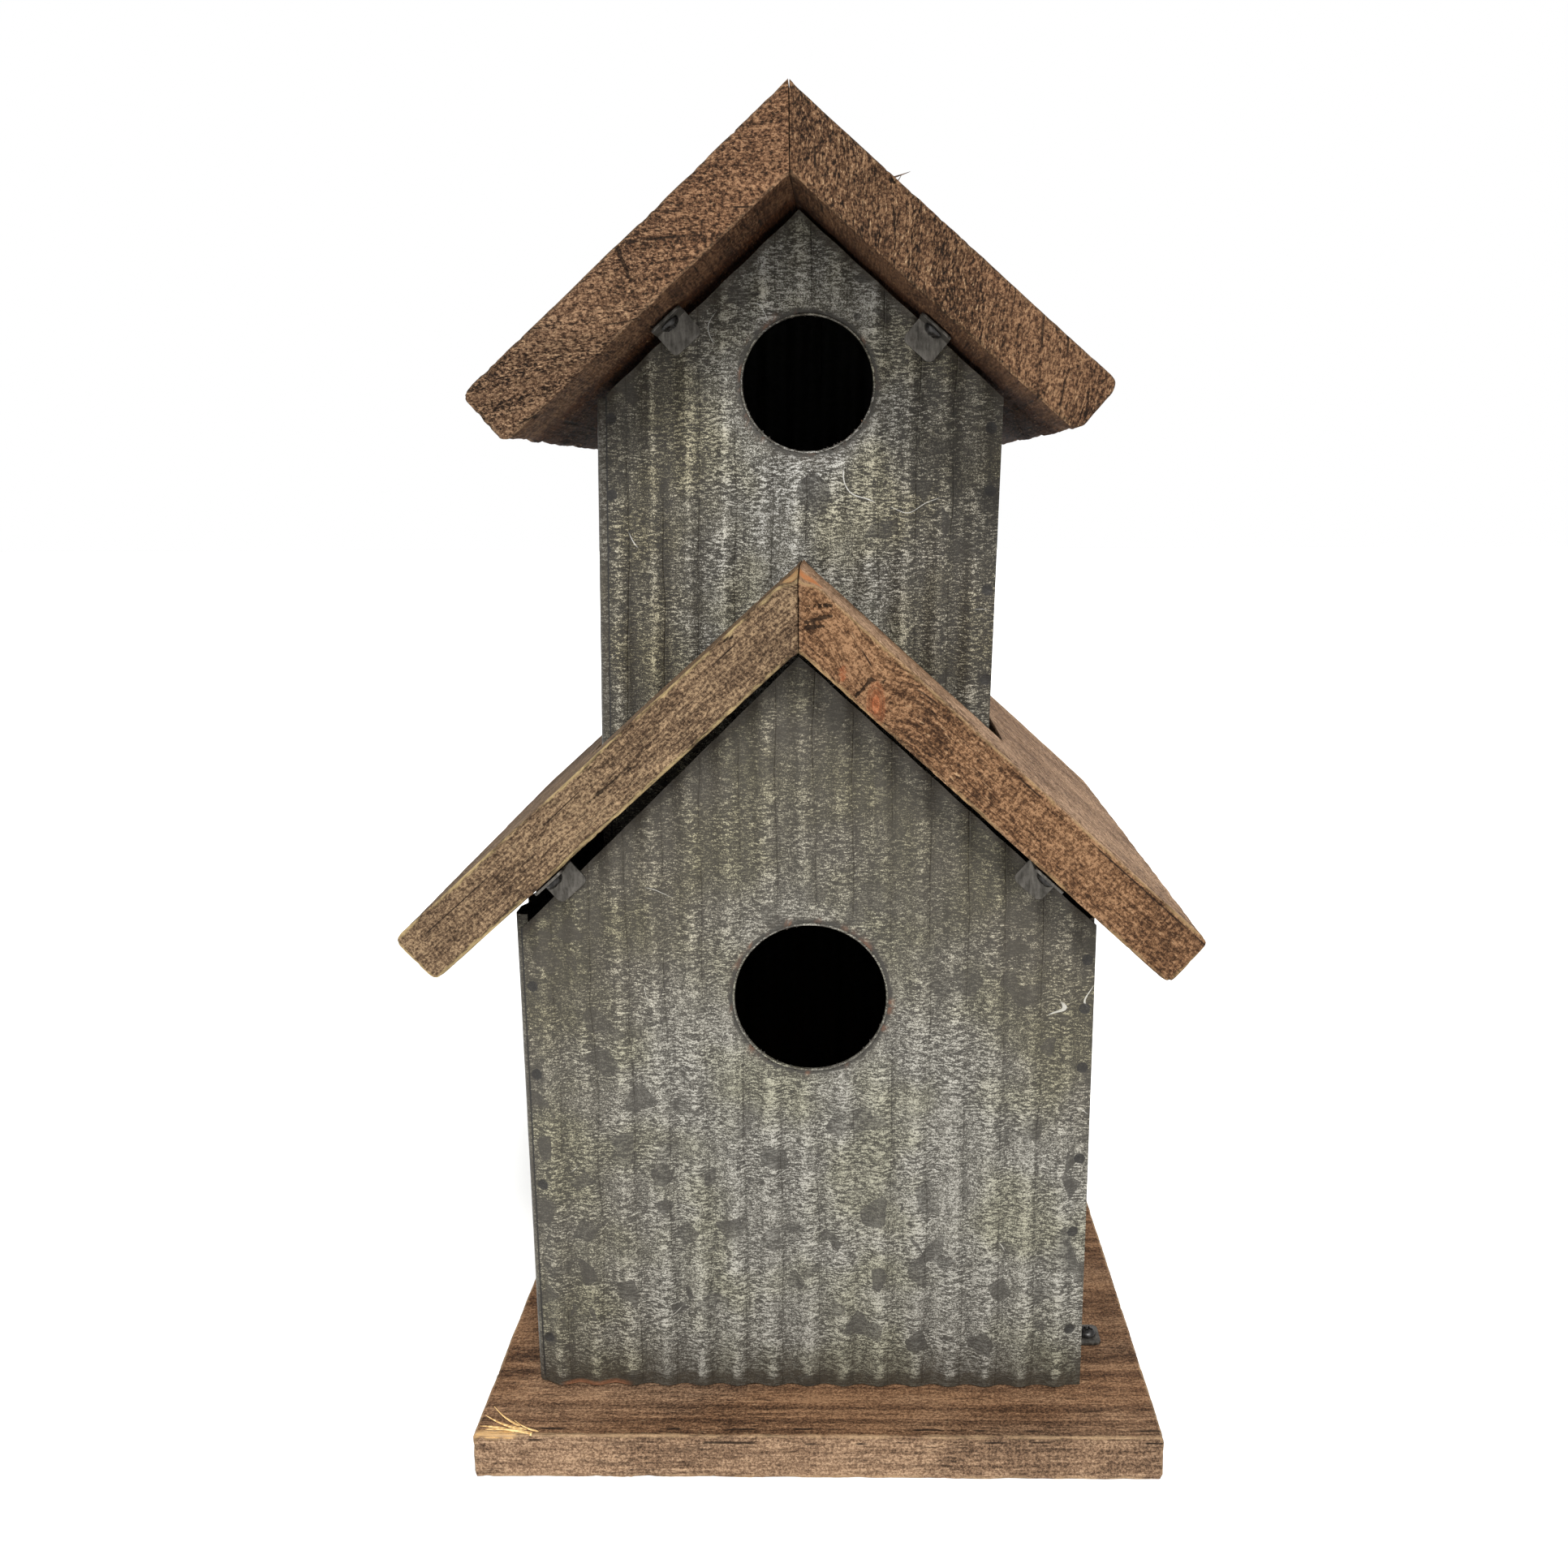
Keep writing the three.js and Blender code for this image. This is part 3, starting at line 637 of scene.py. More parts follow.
def side_panel(node, storey, side):
    """A side sheet with its two flanges, as one line seen from above that is drawn up to the eave."""
    lean = lean_of(f"{storey}_front_panel")
    local = upright(node_points(node), lean)
    low, high = local.min(0), local.max(0)
    inwards = 1 if side == "left" else -1
    wall = (low[0] if side == "left" else high[0]) + inwards * SHEET / 2
    reach = high[0] - low[0] - SHEET / 2
    front, back = low[1] + SHEET / 2, high[1] - SHEET / 2
    flange_top = local[np.abs(local[:, 0] - wall) > reach - SHEET, 2].max()
    turns = np.linspace(0, math.pi / 2, 7)
    flange = np.linspace(reach, BEND_RADIUS, 9)[:-1]
    start, end = front + BEND_RADIUS, back - BEND_RADIUS
    half, middle = (end - start) / 2, (start + end) / 2
    across = np.linspace(-half, half, round(2 * half / GRID_STEP["side_across"]))[1:-1]
    wave = 0.5 - 0.5 * np.cos(2 * math.pi * across / RIB_PITCH[storey])
    inset = RIB_HEIGHT * smooth(half - np.abs(across), 0, RIB_FADE) * (1 - wave)
    line = [(x, front) for x in flange]
    line += [(BEND_RADIUS * (1 - math.sin(t)), front + BEND_RADIUS * (1 - math.cos(t))) for t in turns]
    line += list(zip(inset, middle + across))
    line += [(BEND_RADIUS * (1 - math.cos(t)), back - BEND_RADIUS * (1 - math.sin(t))) for t in turns]
    line += [(x, back) for x in flange[::-1]]
    line = np.array(line)
    tangent = np.gradient(line, axis=0)
    tangent /= np.linalg.norm(tangent, axis=1)[:, None]
    normal = np.stack([-tangent[:, 1], tangent[:, 0]], 1)   # outwards, since the line runs front to back
    rows = np.linspace(low[2], high[2], round((high[2] - low[2]) / GRID_STEP["side_up"]) + 1)

    def skin(offset):
        moved = line + normal * offset
        x = np.repeat(wall + inwards * moved[:, 0], len(rows))
        y = np.repeat(moved[:, 1], len(rows))
        return np.stack([x, y, np.tile(rows, len(line))], 1)

    outer, inner = skin(SHEET / 2), skin(-SHEET / 2)
    dent = inwards * np.abs(0.14 * MM * layered(outer, 30 * MM, 41, 2))
    outer[:, 0] += dent
    inner[:, 0] += dent
    quads = grid_quads(len(line), len(rows))[:, [0, 3, 2, 1]]
    centres = outer[quads].mean(1)
    in_flange = np.abs(centres[:, 0] - wall) > BEND_RADIUS + SHEET
    quads = quads[~(in_flange & (centres[:, 2] > flange_top))]
    obj, keep = sheet_object(f"{node}_sheet", upright(outer, lean, True), upright(inner, lean, True),
                             quads, side == "right")
    along, height = outer[:, 1], outer[:, 2]
    # darker along the foot, painted shade under the roof and along the front bend
    grime_and_shade = 0.9 * smooth(height - low[2] + 2.5 * MM * noise(outer, 8 * MM, 9), 8 * MM, 0)
    grime_and_shade = np.maximum(grime_and_shade, 0.35 * smooth(high[2] - height, 14 * MM, 0))
    grime_and_shade = np.maximum(grime_and_shade, 0.6 * smooth(along - low[1], 5 * MM, 1 * MM))
    far = np.full(len(outer), FAR)
    metal_values(obj, keep, {
        "rib": (along - middle) / RIB_PITCH[storey],
        "ribbed": smooth(half - np.abs(along - middle), 0, RIB_FADE),
        "frost_and_sheen": smooth(layered(outer, (12 * MM, 12 * MM, 45 * MM), 51, 3), -0.3, 0.35),
        # the whole side sheet carries some painted shade
        "grime_and_shade": grime_and_shade, "rust": np.zeros(len(outer)), "painted_shade": np.full(len(outer), 0.4),
        "spot_distance": far, "rim_distance": far, "edge_distance": far,
    })
    return obj


def hole_lip(name, g):
    """The turned edge of an entrance hole: a thin rounded bead on the flattened sheet."""
    hole_x, hole_z, radius = g.hole
    level = g.face + RIB_HEIGHT / 2
    steps, bead = 128, 10
    points, faces = [], []
    for i in range(steps):
        angle = 2 * math.pi * i / steps
        wobble = 0.15 * MM * math.sin(3 * angle + 1) + 0.10 * MM * math.sin(7 * angle)
        for j in range(bead):
            turn = 2 * math.pi * j / bead
            r = radius + LIP["clearance"] + LIP["thickness"] * math.cos(turn)
            y = level + LIP["out"] + wobble + LIP["reach"] * math.sin(turn)
            points.append((hole_x + r * math.cos(angle), y, hole_z + r * math.sin(angle)))
            across, along = (j + 1) % bead, ((i + 1) % steps) * bead
            faces.append((i * bead + j, along + j, along + across, i * bead + across))
    points = upright(np.array(points), g.lean, True)
    obj = object_from(name, points, faces)
    shade(obj, 60)
    for key in ("frost_and_sheen", "painted_shade", "rust", "inside", "rib", "ribbed"):
        store(obj, key, np.zeros(len(points)))
    for key in ("spot_distance", "rim_distance", "edge_distance"):
        store(obj, key, np.full(len(points), FAR))
    store(obj, "grime_and_shade", 0.22 + 0.30 * noise(points, 6 * MM, 71))
    return obj


# ---------------------------------------------------------------- boards

# the distances stored for a board without a knot, and for points away from any cut
NO_KNOT, UNCUT = 1.0, 9 * MM


def board_axes(bm):
    """The board's own axes: z out of its largest upward face, y the object's own."""
    areas = {}
    for face in bm.faces:
        n = face.normal
        if n.z > 0.2 and abs(n.y) < 0.1:
            key = (round(n.x, 2), round(n.z, 2))
            total, vector = areas.get(key, (0, n.copy()))
            areas[key] = (total + face.calc_area(), vector)
    up = max(areas.values(), key=lambda entry: entry[0])[1]
    up = Vector((up.x, 0, up.z)).normalized()
    side = Vector((0, 1, 0)).cross(up)
    return Matrix((side, Vector((0, 1, 0)), up)).transposed()


def outer_planes(bm):
    """The flat faces that bound the board from outside, as rows of normals and their distances."""
    co = np.array([v.co for v in bm.verts])
    found = {}
    for face in bm.faces:
        n = np.array(face.normal)
        d = float(n @ np.array(face.verts[0].co))
        if face.calc_area() > 1e-6 and (co @ n).max() < d + 5e-6:
            found[tuple(np.round(n, 1))] = (n, d)
    return np.array([n for n, d in found.values()]), np.array([d for n, d in found.values()])


def below(planes, p):
    """How far each point lies inside each plane."""
    normals, distances = planes
    return distances - p @ normals.T


def rounded(p, planes, radius):
    """Rounds the edges where the planes meet, to a radius given for each point."""
    reach = np.clip(radius[:, None] - below(planes, p), 0, None)
    towards = reach @ planes[0]
    length = np.maximum(np.linalg.norm(towards, axis=1), 1e-9)
    return p - towards * (np.clip(length - radius, 0, None) / length)[:, None]


def facing(normals, axis, way=0):
    """How squarely each point faces along an axis, from 0 to 1: one way, or both when way is 0."""
    amount = way * normals[:, axis] if way else np.abs(normals[:, axis])
    return np.clip(amount * 1.6 - 0.5, 0, 1)


def remesh(bm, voxel, name):
    mesh = bpy.data.meshes.new(name)
    bm.to_mesh(mesh)
    obj = bpy.data.objects.new(name, mesh)
    bpy.context.scene.collection.objects.link(obj)
    grid = obj.modifiers.new("grid", "REMESH")
    grid.mode = "VOXEL"
    grid.voxel_size = voxel
    graph = bpy.context.evaluated_depsgraph_get()
    fine = bpy.data.meshes.new_from_object(obj.evaluated_get(graph))
    obj.modifiers.clear()
    obj.data = fine
    bpy.data.meshes.remove(mesh)
    fine.name = name
    return obj


def grain_field(p, axes, front, look):
    """Each point's distance from the pith line, bent by noise and knots, and how near it is to a knot."""
    seed, flow = look["seed"], "xy".index(look["run"])
    stretch = np.full(3, 21 * MM)
    stretch[flow] = 180 * MM
    pith = np.array(look["pith"]) * MM
    grain = np.hypot(p[:, 1 - flow] - pith[0], p[:, 2] - pith[1])
    grain = grain + look["bend"] * MM * layered(p, stretch, seed + 1, 2)
    knot, knot_distance = np.zeros(len(p)), np.full(len(p), NO_KNOT)
    turn = np.array(axes)[np.ix_([0, 2], [0, 2])]
    for knot_x, knot_z, size in look.get("knots", ()):
        size *= MM
        aside, up = ((p[:, [0, 2]] - np.array([knot_x, knot_z]) * MM) @ turn.T).T
        away = np.hypot(1.9 * aside, 0.75 * up) + 2.2 * (p[:, 1] - front)
        away = away + 0.6 * MM * noise(p, 4 * MM, seed + 5)
        grain = grain + size * np.exp(-(away / (3.4 * size)) ** 2)
        ragged = away + 0.5 * MM * noise(p, 1.6 * MM, seed + 14)
        knot = np.maximum(knot, smooth(ragged, 1.25 * size, 0.6 * size))
        knot_distance = np.minimum(knot_distance, away)
    return grain, knot, knot_distance


def weathering(p, normals, grain, near_ridge, look):
    """How deep the surface is worn in at each point, how sawn it is and how pitted."""
    seed, flow = look["seed"], "xy".index(look["run"])
    gables = look["rough"] * (1 - look.get("smooth_ridge", 0) * near_ridge)
    rough = gables * (facing(normals, 1, -1) + facing(normals, 1, 1))
    rough = rough + 0.5 * facing(normals, 0) + 0.35 * facing(normals, 2)
    lined = np.stack([grain, p[:, flow], np.zeros(len(p))], 1)
    furrow = noise(lined, (1.5 * MM, 18 * MM, 1), seed + 2)
    ridges = noise(lined, (2.4 * MM, 7 * MM, 1), seed + 3)
    patch = 0.35 + 0.65 * smooth(layered(p, 22 * MM, seed + 4, 2), -0.45, 0.35)
    crumbs = noise(p, 1.4 * MM, seed + 6)
    pits = smooth(0.5 * ridges + 0.7 * crumbs, 0.10, 0.75) * patch
    depth = 0.22 * MM * (1 + layered(p, 26 * MM, seed + 7, 2))
    depth = depth + rough * MM * (0.20 * (1 + furrow) + 0.75 * pits)
    return depth, np.clip(rough * patch, 0, 1), np.clip(0.3 * pits * rough, 0, 1)


def grooves(p, normals, front, look):
    """Gouges in the front face and splits along the flat faces: their depth and the distance from them."""
    seed = look["seed"]
    forwards, flat = facing(normals, 1, -1), facing(normals, 2)
    depth, nearest = np.zeros(len(p)), np.full(len(p), UNCUT)
    for x0, z0, x1, z1, width, deep in look.get("cuts", ()):
        start, span = np.array([x0, z0]) * MM, np.array([x1 - x0, z1 - z0]) * MM
        from_start = p[:, [0, 2]] - start
        t = np.clip(from_start @ span / (span @ span), 0, 1)
        away = np.linalg.norm(from_start - t[:, None] * span, axis=1)
        away = np.maximum(away + 0.4 * MM * noise(p, 2.5 * MM, seed + 8), 0)
        taper = np.sin(np.pi * np.clip(t, 0.06, 0.94)) ** 0.5
        depth += deep * MM * np.exp(-(away / (width * MM)) ** 2) * forwards * taper
        nearest = np.minimum(nearest, away + 3 * MM * (1 - forwards))
    for x0, x1, y, width, deep in look.get("splits", ()):
        drift = 1.2 * MM * noise(p, (25 * MM, 500 * MM, 500 * MM), seed + 13)
        away = np.abs(p[:, 1] - front - y * MM + drift)
        reach = smooth(p[:, 0], x0 * MM, (x0 + 8) * MM) * smooth(p[:, 0], x1 * MM, (x1 - 8) * MM) * flat
        depth += deep * MM * np.exp(-(away / (width * MM)) ** 2) * reach
        nearest = np.minimum(nearest, away + 3 * MM * (1 - reach))
    return depth, nearest


def worn(p, planes, up, front, look):
    """The points with worn edges, rounded eave corners and the ridge worn down at the front.
    Also the distance from the nearest edge."""
    chips = np.clip(layered(p, (9 * MM, 9 * MM, 5 * MM), look["seed"] + 9, 3), -0.4, 1)
    lengthwise = np.abs(planes[0][:, 1]) < 0.5
    long_planes = (planes[0][lengthwise], planes[1][lengthwise])
    moved = rounded(p, long_planes, look["corner"] * MM * (0.8 + 0.5 * chips))
    moved = rounded(moved, planes, look["edge_radius"] * MM * (0.75 + chips))
    if "ridge_dip" in look:
        reach, deep = np.array(look["ridge_dip"]) * MM
        peak = p[np.argmax(p @ up)] * np.array([1, 0, 1]) + np.array([0, front, 0])
        away = np.linalg.norm((p - peak) * np.array([1, 0.6, 1]), axis=1)
        moved = moved - (deep * smooth(away, reach, 0))[:, None] * up
    return moved, np.sort(below(planes, p), axis=1)[:, 1]


def bared_patches(p, front, look):
    """Where the weathered skin has broken away and pale wood shows."""
    bared = np.zeros(len(p))
    for x, y, z, size in look.get("bared", ()):
        spot = np.array([x * MM, front + y * MM, z * MM])
        away = np.linalg.norm((p - spot) * np.array([0.5, 1, 1.8]), axis=1)
        away = away + 2.5 * MM * layered(p, 3 * MM, look["seed"] + 12, 2)
        bared = np.maximum(bared, smooth(away, size * MM, 0.6 * size * MM))
    return bared


def board(node, side, voxel, look):
    """A plank from its CAD solid. look says how its grain runs and how rough, knotted and worn it is."""
    bm = joined_copy(node)
    axes = board_axes(bm)
    bm.transform(axes.inverted().to_4x4())
    co = np.array([v.co for v in bm.verts])
    under = co[co[:, 2] < co[:, 2].min() + 0.1 * MM, 0]
    ridge = {"left": under.max(), "right": under.min(), "": (under.min() + under.max()) / 2}[side]
    origin = np.array([ridge, 0, co[:, 2].min()])
    bmesh.ops.translate(bm, verts=bm.verts, vec=Vector(-origin))
    bmesh.ops.recalc_face_normals(bm, faces=bm.faces)
    planes = outer_planes(bm)
    obj = remesh(bm, voxel, f"{node}_plank")
    bm.free()
    mesh = obj.data
    p = positions(mesh)
    for _ in range(3):           # the grid rounds the corners off: bring them back onto the flat faces
        short = below(planes, p)
        p = p + np.where(short < 0.55 * voxel, short, 0) @ planes[0] * 0.8
    normals = np.empty(len(p) * 3)
    mesh.vertex_normals.foreach_get("vector", normals)
    normals = normals.reshape(-1, 3)

    front = p[:, 1].min()
    across = np.abs(p[:, 0])
    near_ridge = smooth(across / across.max(), 0.75, 0.15)
    grain, knot, knot_distance = grain_field(p, axes, front, look)
    depth, sawn, cavity = weathering(p, normals, grain, near_ridge, look)
    groove_depth, cut_distance = grooves(p, normals, front, look)
    depth = depth + groove_depth
    slanted = (np.abs(planes[0][:, 0]) > 0.2) & (np.abs(planes[0][:, 2]) > 0.2)
    if slanted.any():            # the mitred joint at the ridge stays tight
        to_joint = below((planes[0][slanted], planes[1][slanted]), p).min(1)
        depth = depth * smooth(to_joint, 0.3 * MM, 1.5 * MM)
    up = np.array([axes[2][0], 0, axes[2][2]])
    moved, rim = worn(p, (planes[0][~slanted], planes[1][~slanted]), up, front, look)
    moved = moved - normals * depth[:, None]
    mesh.vertices.foreach_set("co", ((moved + origin) @ np.array(axes).T).ravel())
    mesh.update()
    shade(obj, 70)

    flow = "xy".index(look["run"])
    flat = facing(normals, 2)
    gable = look.get("gable", 0) * MM
    shade_behind_gable = smooth(p[:, 1] - front, gable - 16 * MM, gable - 4 * MM)
    for name, values in {
            "board": p,
            "fibres": np.stack([grain, p[:, 1 - flow], p[:, flow]], 1),
            "knot": knot * facing(normals, 1, -1), "knot_distance": knot_distance,
            "rim": rim, "sawn": sawn, "cavity": cavity, "cut_distance": cut_distance,
            "flat_face_tint": flat * smooth(layered(p, (60 * MM, 30 * MM, 30 * MM), look["seed"] + 11, 3), -0.8, 0.1),
            # painted shade on the undersides: some all along, most behind the gable
            "under": facing(normals, 2, -1) * (0.35 + 0.65 * shade_behind_gable) * (side != ""),
            "bared": bared_patches(p, front, look),
            "ridge_side": near_ridge * (look.get("smooth_ridge", 0) > 0)}.items():
        store(obj, name, values)
    return obj


def splinters(name, slivers):
    """Thin curved slivers of wood: each a root, a tip and a width, in mm of the frame."""
    points, faces = [], []
    steps, sides = 7, 4
    for index, (root, tip, width) in enumerate(slivers):
        root, tip = np.array(root) * MM, np.array(tip) * MM
        length = np.linalg.norm(tip - root)
        along = (tip - root) / length
        across = np.cross(along, (0, 0, 1))
        across /= np.linalg.norm(across)
        up = np.cross(across, along)
        first = len(points)
        for i in range(steps):
            t = i / (steps - 1)
            bow = 0.07 * length * math.sin(math.pi * t) * (1 if index % 2 else -1)
            centre = root + (tip - root) * t + across * bow
            half = width * MM / 2 * (1 - 0.85 * t)
            for turn in range(sides):
                angle = math.pi / 2 * turn + 0.4
                points.append(centre + across * half * math.cos(angle) + up * 0.5 * half * math.sin(angle))
        for i, j in itertools.product(range(steps - 1), range(sides)):
            a, b = first + i * sides + j, first + i * sides + (j + 1) % sides
            faces.append((a, b, b + sides, a + sides))
        faces.append(tuple(first + j for j in range(sides))[::-1])
        faces.append(tuple(first + (steps - 1) * sides + j for j in range(sides)))
    obj = object_from(name, np.array(points), faces)
    face_outwards(obj)
    return obj


# ---------------------------------------------------------------- clips and screws

def bent_clip(node):
    """A clip from its CAD solid with its sheared edges rounded."""
    bm = joined_copy(node)
    sharp = [e for e in bm.edges if e.is_manifold and e.calc_face_angle() > math.radians(50)]
    bmesh.ops.bevel(bm, geom=sharp, offset=CLIP_EDGE, segments=2, profile=0.6, affect="EDGES",
                    clamp_overlap=True)
    obj = object_from(f"{node}_steel", [(0, 0, 0)], [])
    bm.to_mesh(obj.data)
    bm.free()
    shade(obj, 35)
    return obj


def screw_head():
    """A domed disc with a cross recess, as a square grid of points pressed round."""
    radius, cells = SCREW_HEAD["radius"], 36
    t = np.linspace(-1, 1, cells + 1)
    u, v = np.meshgrid(t, t, indexing="ij")
    x = u * np.sqrt(1 - v * v / 2)
    y = v * np.sqrt(1 - u * u / 2)
    r = np.clip(np.hypot(x, y), 0, 1)
    dome = -SCREW_HEAD["height"] * np.sqrt(np.clip(1 - 0.97 * r ** 2.4, 0, 1))
    ax, ay = np.abs(x * radius), np.abs(y * radius)
    arm = lambda a, b: smooth(a, 0.62 * MM, 0.34 * MM) * smooth(b, 2.0 * MM, 1.2 * MM)
    z = dome + 1.25 * MM * np.maximum(arm(ax, ay), arm(ay, ax))
    grid = np.arange((cells + 1) ** 2).reshape(cells + 1, cells + 1)
    rim = np.concatenate([grid[0, :-1], grid[:-1, -1], grid[-1, :0:-1], grid[:0:-1, 0]])
    return np.stack([x * radius, y * radius, z], -1).reshape(-1, 3), rim, cells


def pan_screw(node):
    """A domed cross-head screw where the CAD screw is, its thread a row of rings down to a point."""
    cad = node_points(node)
    middle = cad.mean(0)
    tip = cad[np.argmax(np.linalg.norm(cad - middle, axis=1))]
    axis = Vector(tip - middle).normalized()
    length, thin = SCREW_HEAD["length"], SCREW_HEAD["shank"] / SCREW_HEAD["radius"]
    head, rim, cells = screw_head()
    faces = grid_quads(cells + 1, cells + 1)[:, [0, 3, 2, 1]].tolist()
    rings = [(1.0, 0.0), (thin, 0.0)]
    for i in range(THREAD["turns"]):
        rings.append((thin * (THREAD["waist"] if i % 2 else 1.0), (i + 1) * THREAD["step"]))
    rings += [(0.25 * thin, length - 0.6 * MM)]
    points = list(head)
    previous = rim
    for scale, level in rings:
        current = np.arange(len(points), len(points) + len(rim))
        points.extend(head[rim] * np.array([scale, scale, 0]) + np.array([0, 0, level]))
        faces += [list(quad) for quad in zip(previous, np.roll(previous, -1), np.roll(current, -1), current)]
        previous = current
    faces += [[a, b, len(points)] for a, b in zip(previous, np.roll(previous, -1))]
    points.append(np.array([0, 0, length]))
    turn = Vector((0, 0, 1)).rotation_difference(axis).to_matrix()
    centre_x = (cad[:, 0].min() + cad[:, 0].max()) / 2
    spin = Matrix.Rotation(0.5 + 1.7 * centre_x / (10 * MM), 3, "Z")   # no two recesses sit alike
    placed = np.array(points) @ np.array(turn @ spin).T + (np.array(tip) - np.array(axis) * length)
    obj = object_from(f"{node}_turned", placed, faces)
    face_outwards(obj)
    shade(obj, 50)
    return obj


# ---------------------------------------------------------------- the object

# A sheet's tones are pale, mid and dark, then the tint of its warm patches.
# Then frost strength, flake share, speckle size, and the painted rib light: highlight reach and strength, shade
# depth.
GALVANISED = {
    "lower": galvanised("galvanised_lower", ("98958c", "5b5850", "302d28"), "f2f2e2", 0.14, 0.18, 0.58 * MM,
                        {"reach": 0.26, "light": 0.10, "dark": 0.11}),
    "tower": galvanised("galvanised_tower", ("a09e98", "49463d", "221f1a"), "f2eed8", 0.85, 0.05, 0.48 * MM,
                        {"reach": 0.16, "light": 0.15, "dark": 0.08}),
}
CLIP_STEEL = bare_steel("clip_steel", "625e58", "2c2924", 0.45)
SCREW_STEEL = bare_steel("screw_steel", "3c3a38", "141312", 0.32)

# weld dots down both edges of each front panel: x and z of the frame, in mm
WELDS = {
    "lower": [(85.5, 166.7), (85.1, 150.5), (85.0, 130.5), (85.2, 98.9), (83.7, 72.9), (83.8, 37.2),
              (-90.3, 89.3), (-90.8, 33.4), (-90.5, 128.0), (-90.4, 158.0)],
    "tower": [(54.8, 330.5), (54.9, 311.3), (54.5, 280.5), (54.5, 251.7),
              (-63.7, 333.8), (-64.3, 310.5), (-67.0, 293.4), (-68.6, 272.4)],
}

# A board's look, in mm from its inner ridge: x down the slope and z through the thickness.
# LONG: the fibres run along the face that shows; END: they end at it.
LONG = {"run": "x", "lump": (900, 300, 110), "lump_tone": 0.10, "saw": 0.05, "grit_size": (1300, 1300, 420),
        "grit": 0.28, "speckle": 0.34, "row_scale": 300, "row_share": 0.3, "top_rings": 0}
END = {"run": "y", "lump": (1900, 820, 130), "lump_tone": 0.20, "saw": 0.04, "grit_size": (1700, 900, 300),
       "grit": 0.46, "speckle": 0.34, "row_scale": 260, "row_share": 0.75, "top_rings": 0,
       "bend": 2.6, "edge_radius": 1.0, "corner": 5.5, "edge_pale": 0.15, "stain": (0.9, 0.9, 0.9, 1),
       "bare": "8a5a34", "gable": 42}
LOWER_ROOF = {"edge_radius": 1.1, "corner": 5.0, "ridge_dip": (9, 3.2), "gable": 15}

LOOKS = {
    "lower_roof_left_board": {
        **LONG, **LOWER_ROOF, "seed": 100, "pith": (-150, -70), "bend": 3.0, "rough": 0.45, "edge_pale": 0.8,
        "stain": (0.95, 0.92, 0.88, 1), "bare": "8a5a36", "bared": [(15.0, 7.0, 18.5, 3.5)],
        "cuts": [(-11.0, 16.6, -14.6, 18.2, 0.6, 1.0), (-60, 8.5, -78, 9.5, 0.6, 0.7)],
    },
    "lower_roof_right_board": {
        **LONG, **LOWER_ROOF, "seed": 200, "pith": (-130, -60), "bend": 3.5, "rough": 0.5, "edge_pale": 0.6,
        "saw": 0.12, "stain": (1.85, 2.2, 2.7, 1), "bare": "a85a30", "bared": [(-15.0, 7.0, 18.5, 4.5)],
        "knots": [(26.4, 4.2, 5.0), (13.5, 4.0, 1.6)],
        "splits": [(8, 62, 4.0, 0.7, 1.0), (40, 120, 6.5, 0.7, 0.9)],
        "cuts": [(-8.4, 11.0, -2.2, 17.0, 0.6, 1.6), (-5.2, 7.6, -0.5, 14.2, 0.5, 1.1),
                 (-4.0, 6.4, 0.2, 11.0, 0.5, 1.0), (21.0, -0.5, 20.4, 8.4, 0.5, 1.0),
                 (20.4, 8.4, 24.0, 10.5, 0.5, 0.8)],
    },
    "upper_roof_left_board": {
        **END, "seed": 300, "pith": (-278, -327), "rough": 1.15, "smooth_ridge": 0.7,
        "cuts": [(-47.9, 18, -51.4, 8.6, 0.6, 0.8)],
    },
    "upper_roof_right_board": {
        **END, "seed": 400, "pith": (-240, -250), "rough": 0.95, "cuts": [(22, 17, 25, 20, 1.0, 1.5)],
    },
    "base_board": {
        **LONG, "seed": 500, "pith": (-40, -90), "bend": 3.0, "rough": 0.35, "edge_radius": 0.9, "corner": 2.0,
        "edge_pale": 0.5, "grit": 0.22, "speckle": 0.28, "top_rings": 0.16, "stain": (0.76, 0.64, 0.54, 1),
        "bare": "c79a5c", "bared": [(-104.5, 0.5, 15.8, 4.2)],
    },
    "tower_floor_board": {
        **LONG, "seed": 600, "pith": (-40, -60), "bend": 2.0, "rough": 0.3, "edge_radius": 0.6, "corner": 0.8,
        "edge_pale": 0.3, "stain": (0.9, 0.9, 0.9, 1), "bare": "8a5a34",
    },
}

# Each board's slot, the size of its remeshing grid in mm, and its tones: dark, mid, light and worn edge.
BOARDS = {
    "lower_roof_left_board": ("roof_wood", 1.06, ("2f2318", "564433", "806b52", "98855f")),
    "lower_roof_right_board": ("roof_wood", 1.06, ("2f1e11", "583e29", "806146", "8a7250")),
    "upper_roof_left_board": ("roof_wood", 0.9, ("22170e", "543d2c", "81664e", "75654f")),
    "upper_roof_right_board": ("roof_wood", 0.9, ("22170e", "4e3625", "785b42", "665842")),
    "base_board": ("base_wood", 1.15, ("3a2b1f", "69523f", "957b62", "9b8263")),
    "tower_floor_board": ("floor_wood", 1.3, ("453425", "6f5942", "8d7558", "93795c")),
}

for node, (slot, voxel, tones) in BOARDS.items():
    side = "left" if "_left_" in node else "right" if "_right_" in node else ""
    voxel = voxel * MM * 1
    finish = wood(f"{node}_wood", tones, LOOKS[node])
    settle(board(node, side, voxel, LOOKS[node]), node, finish)

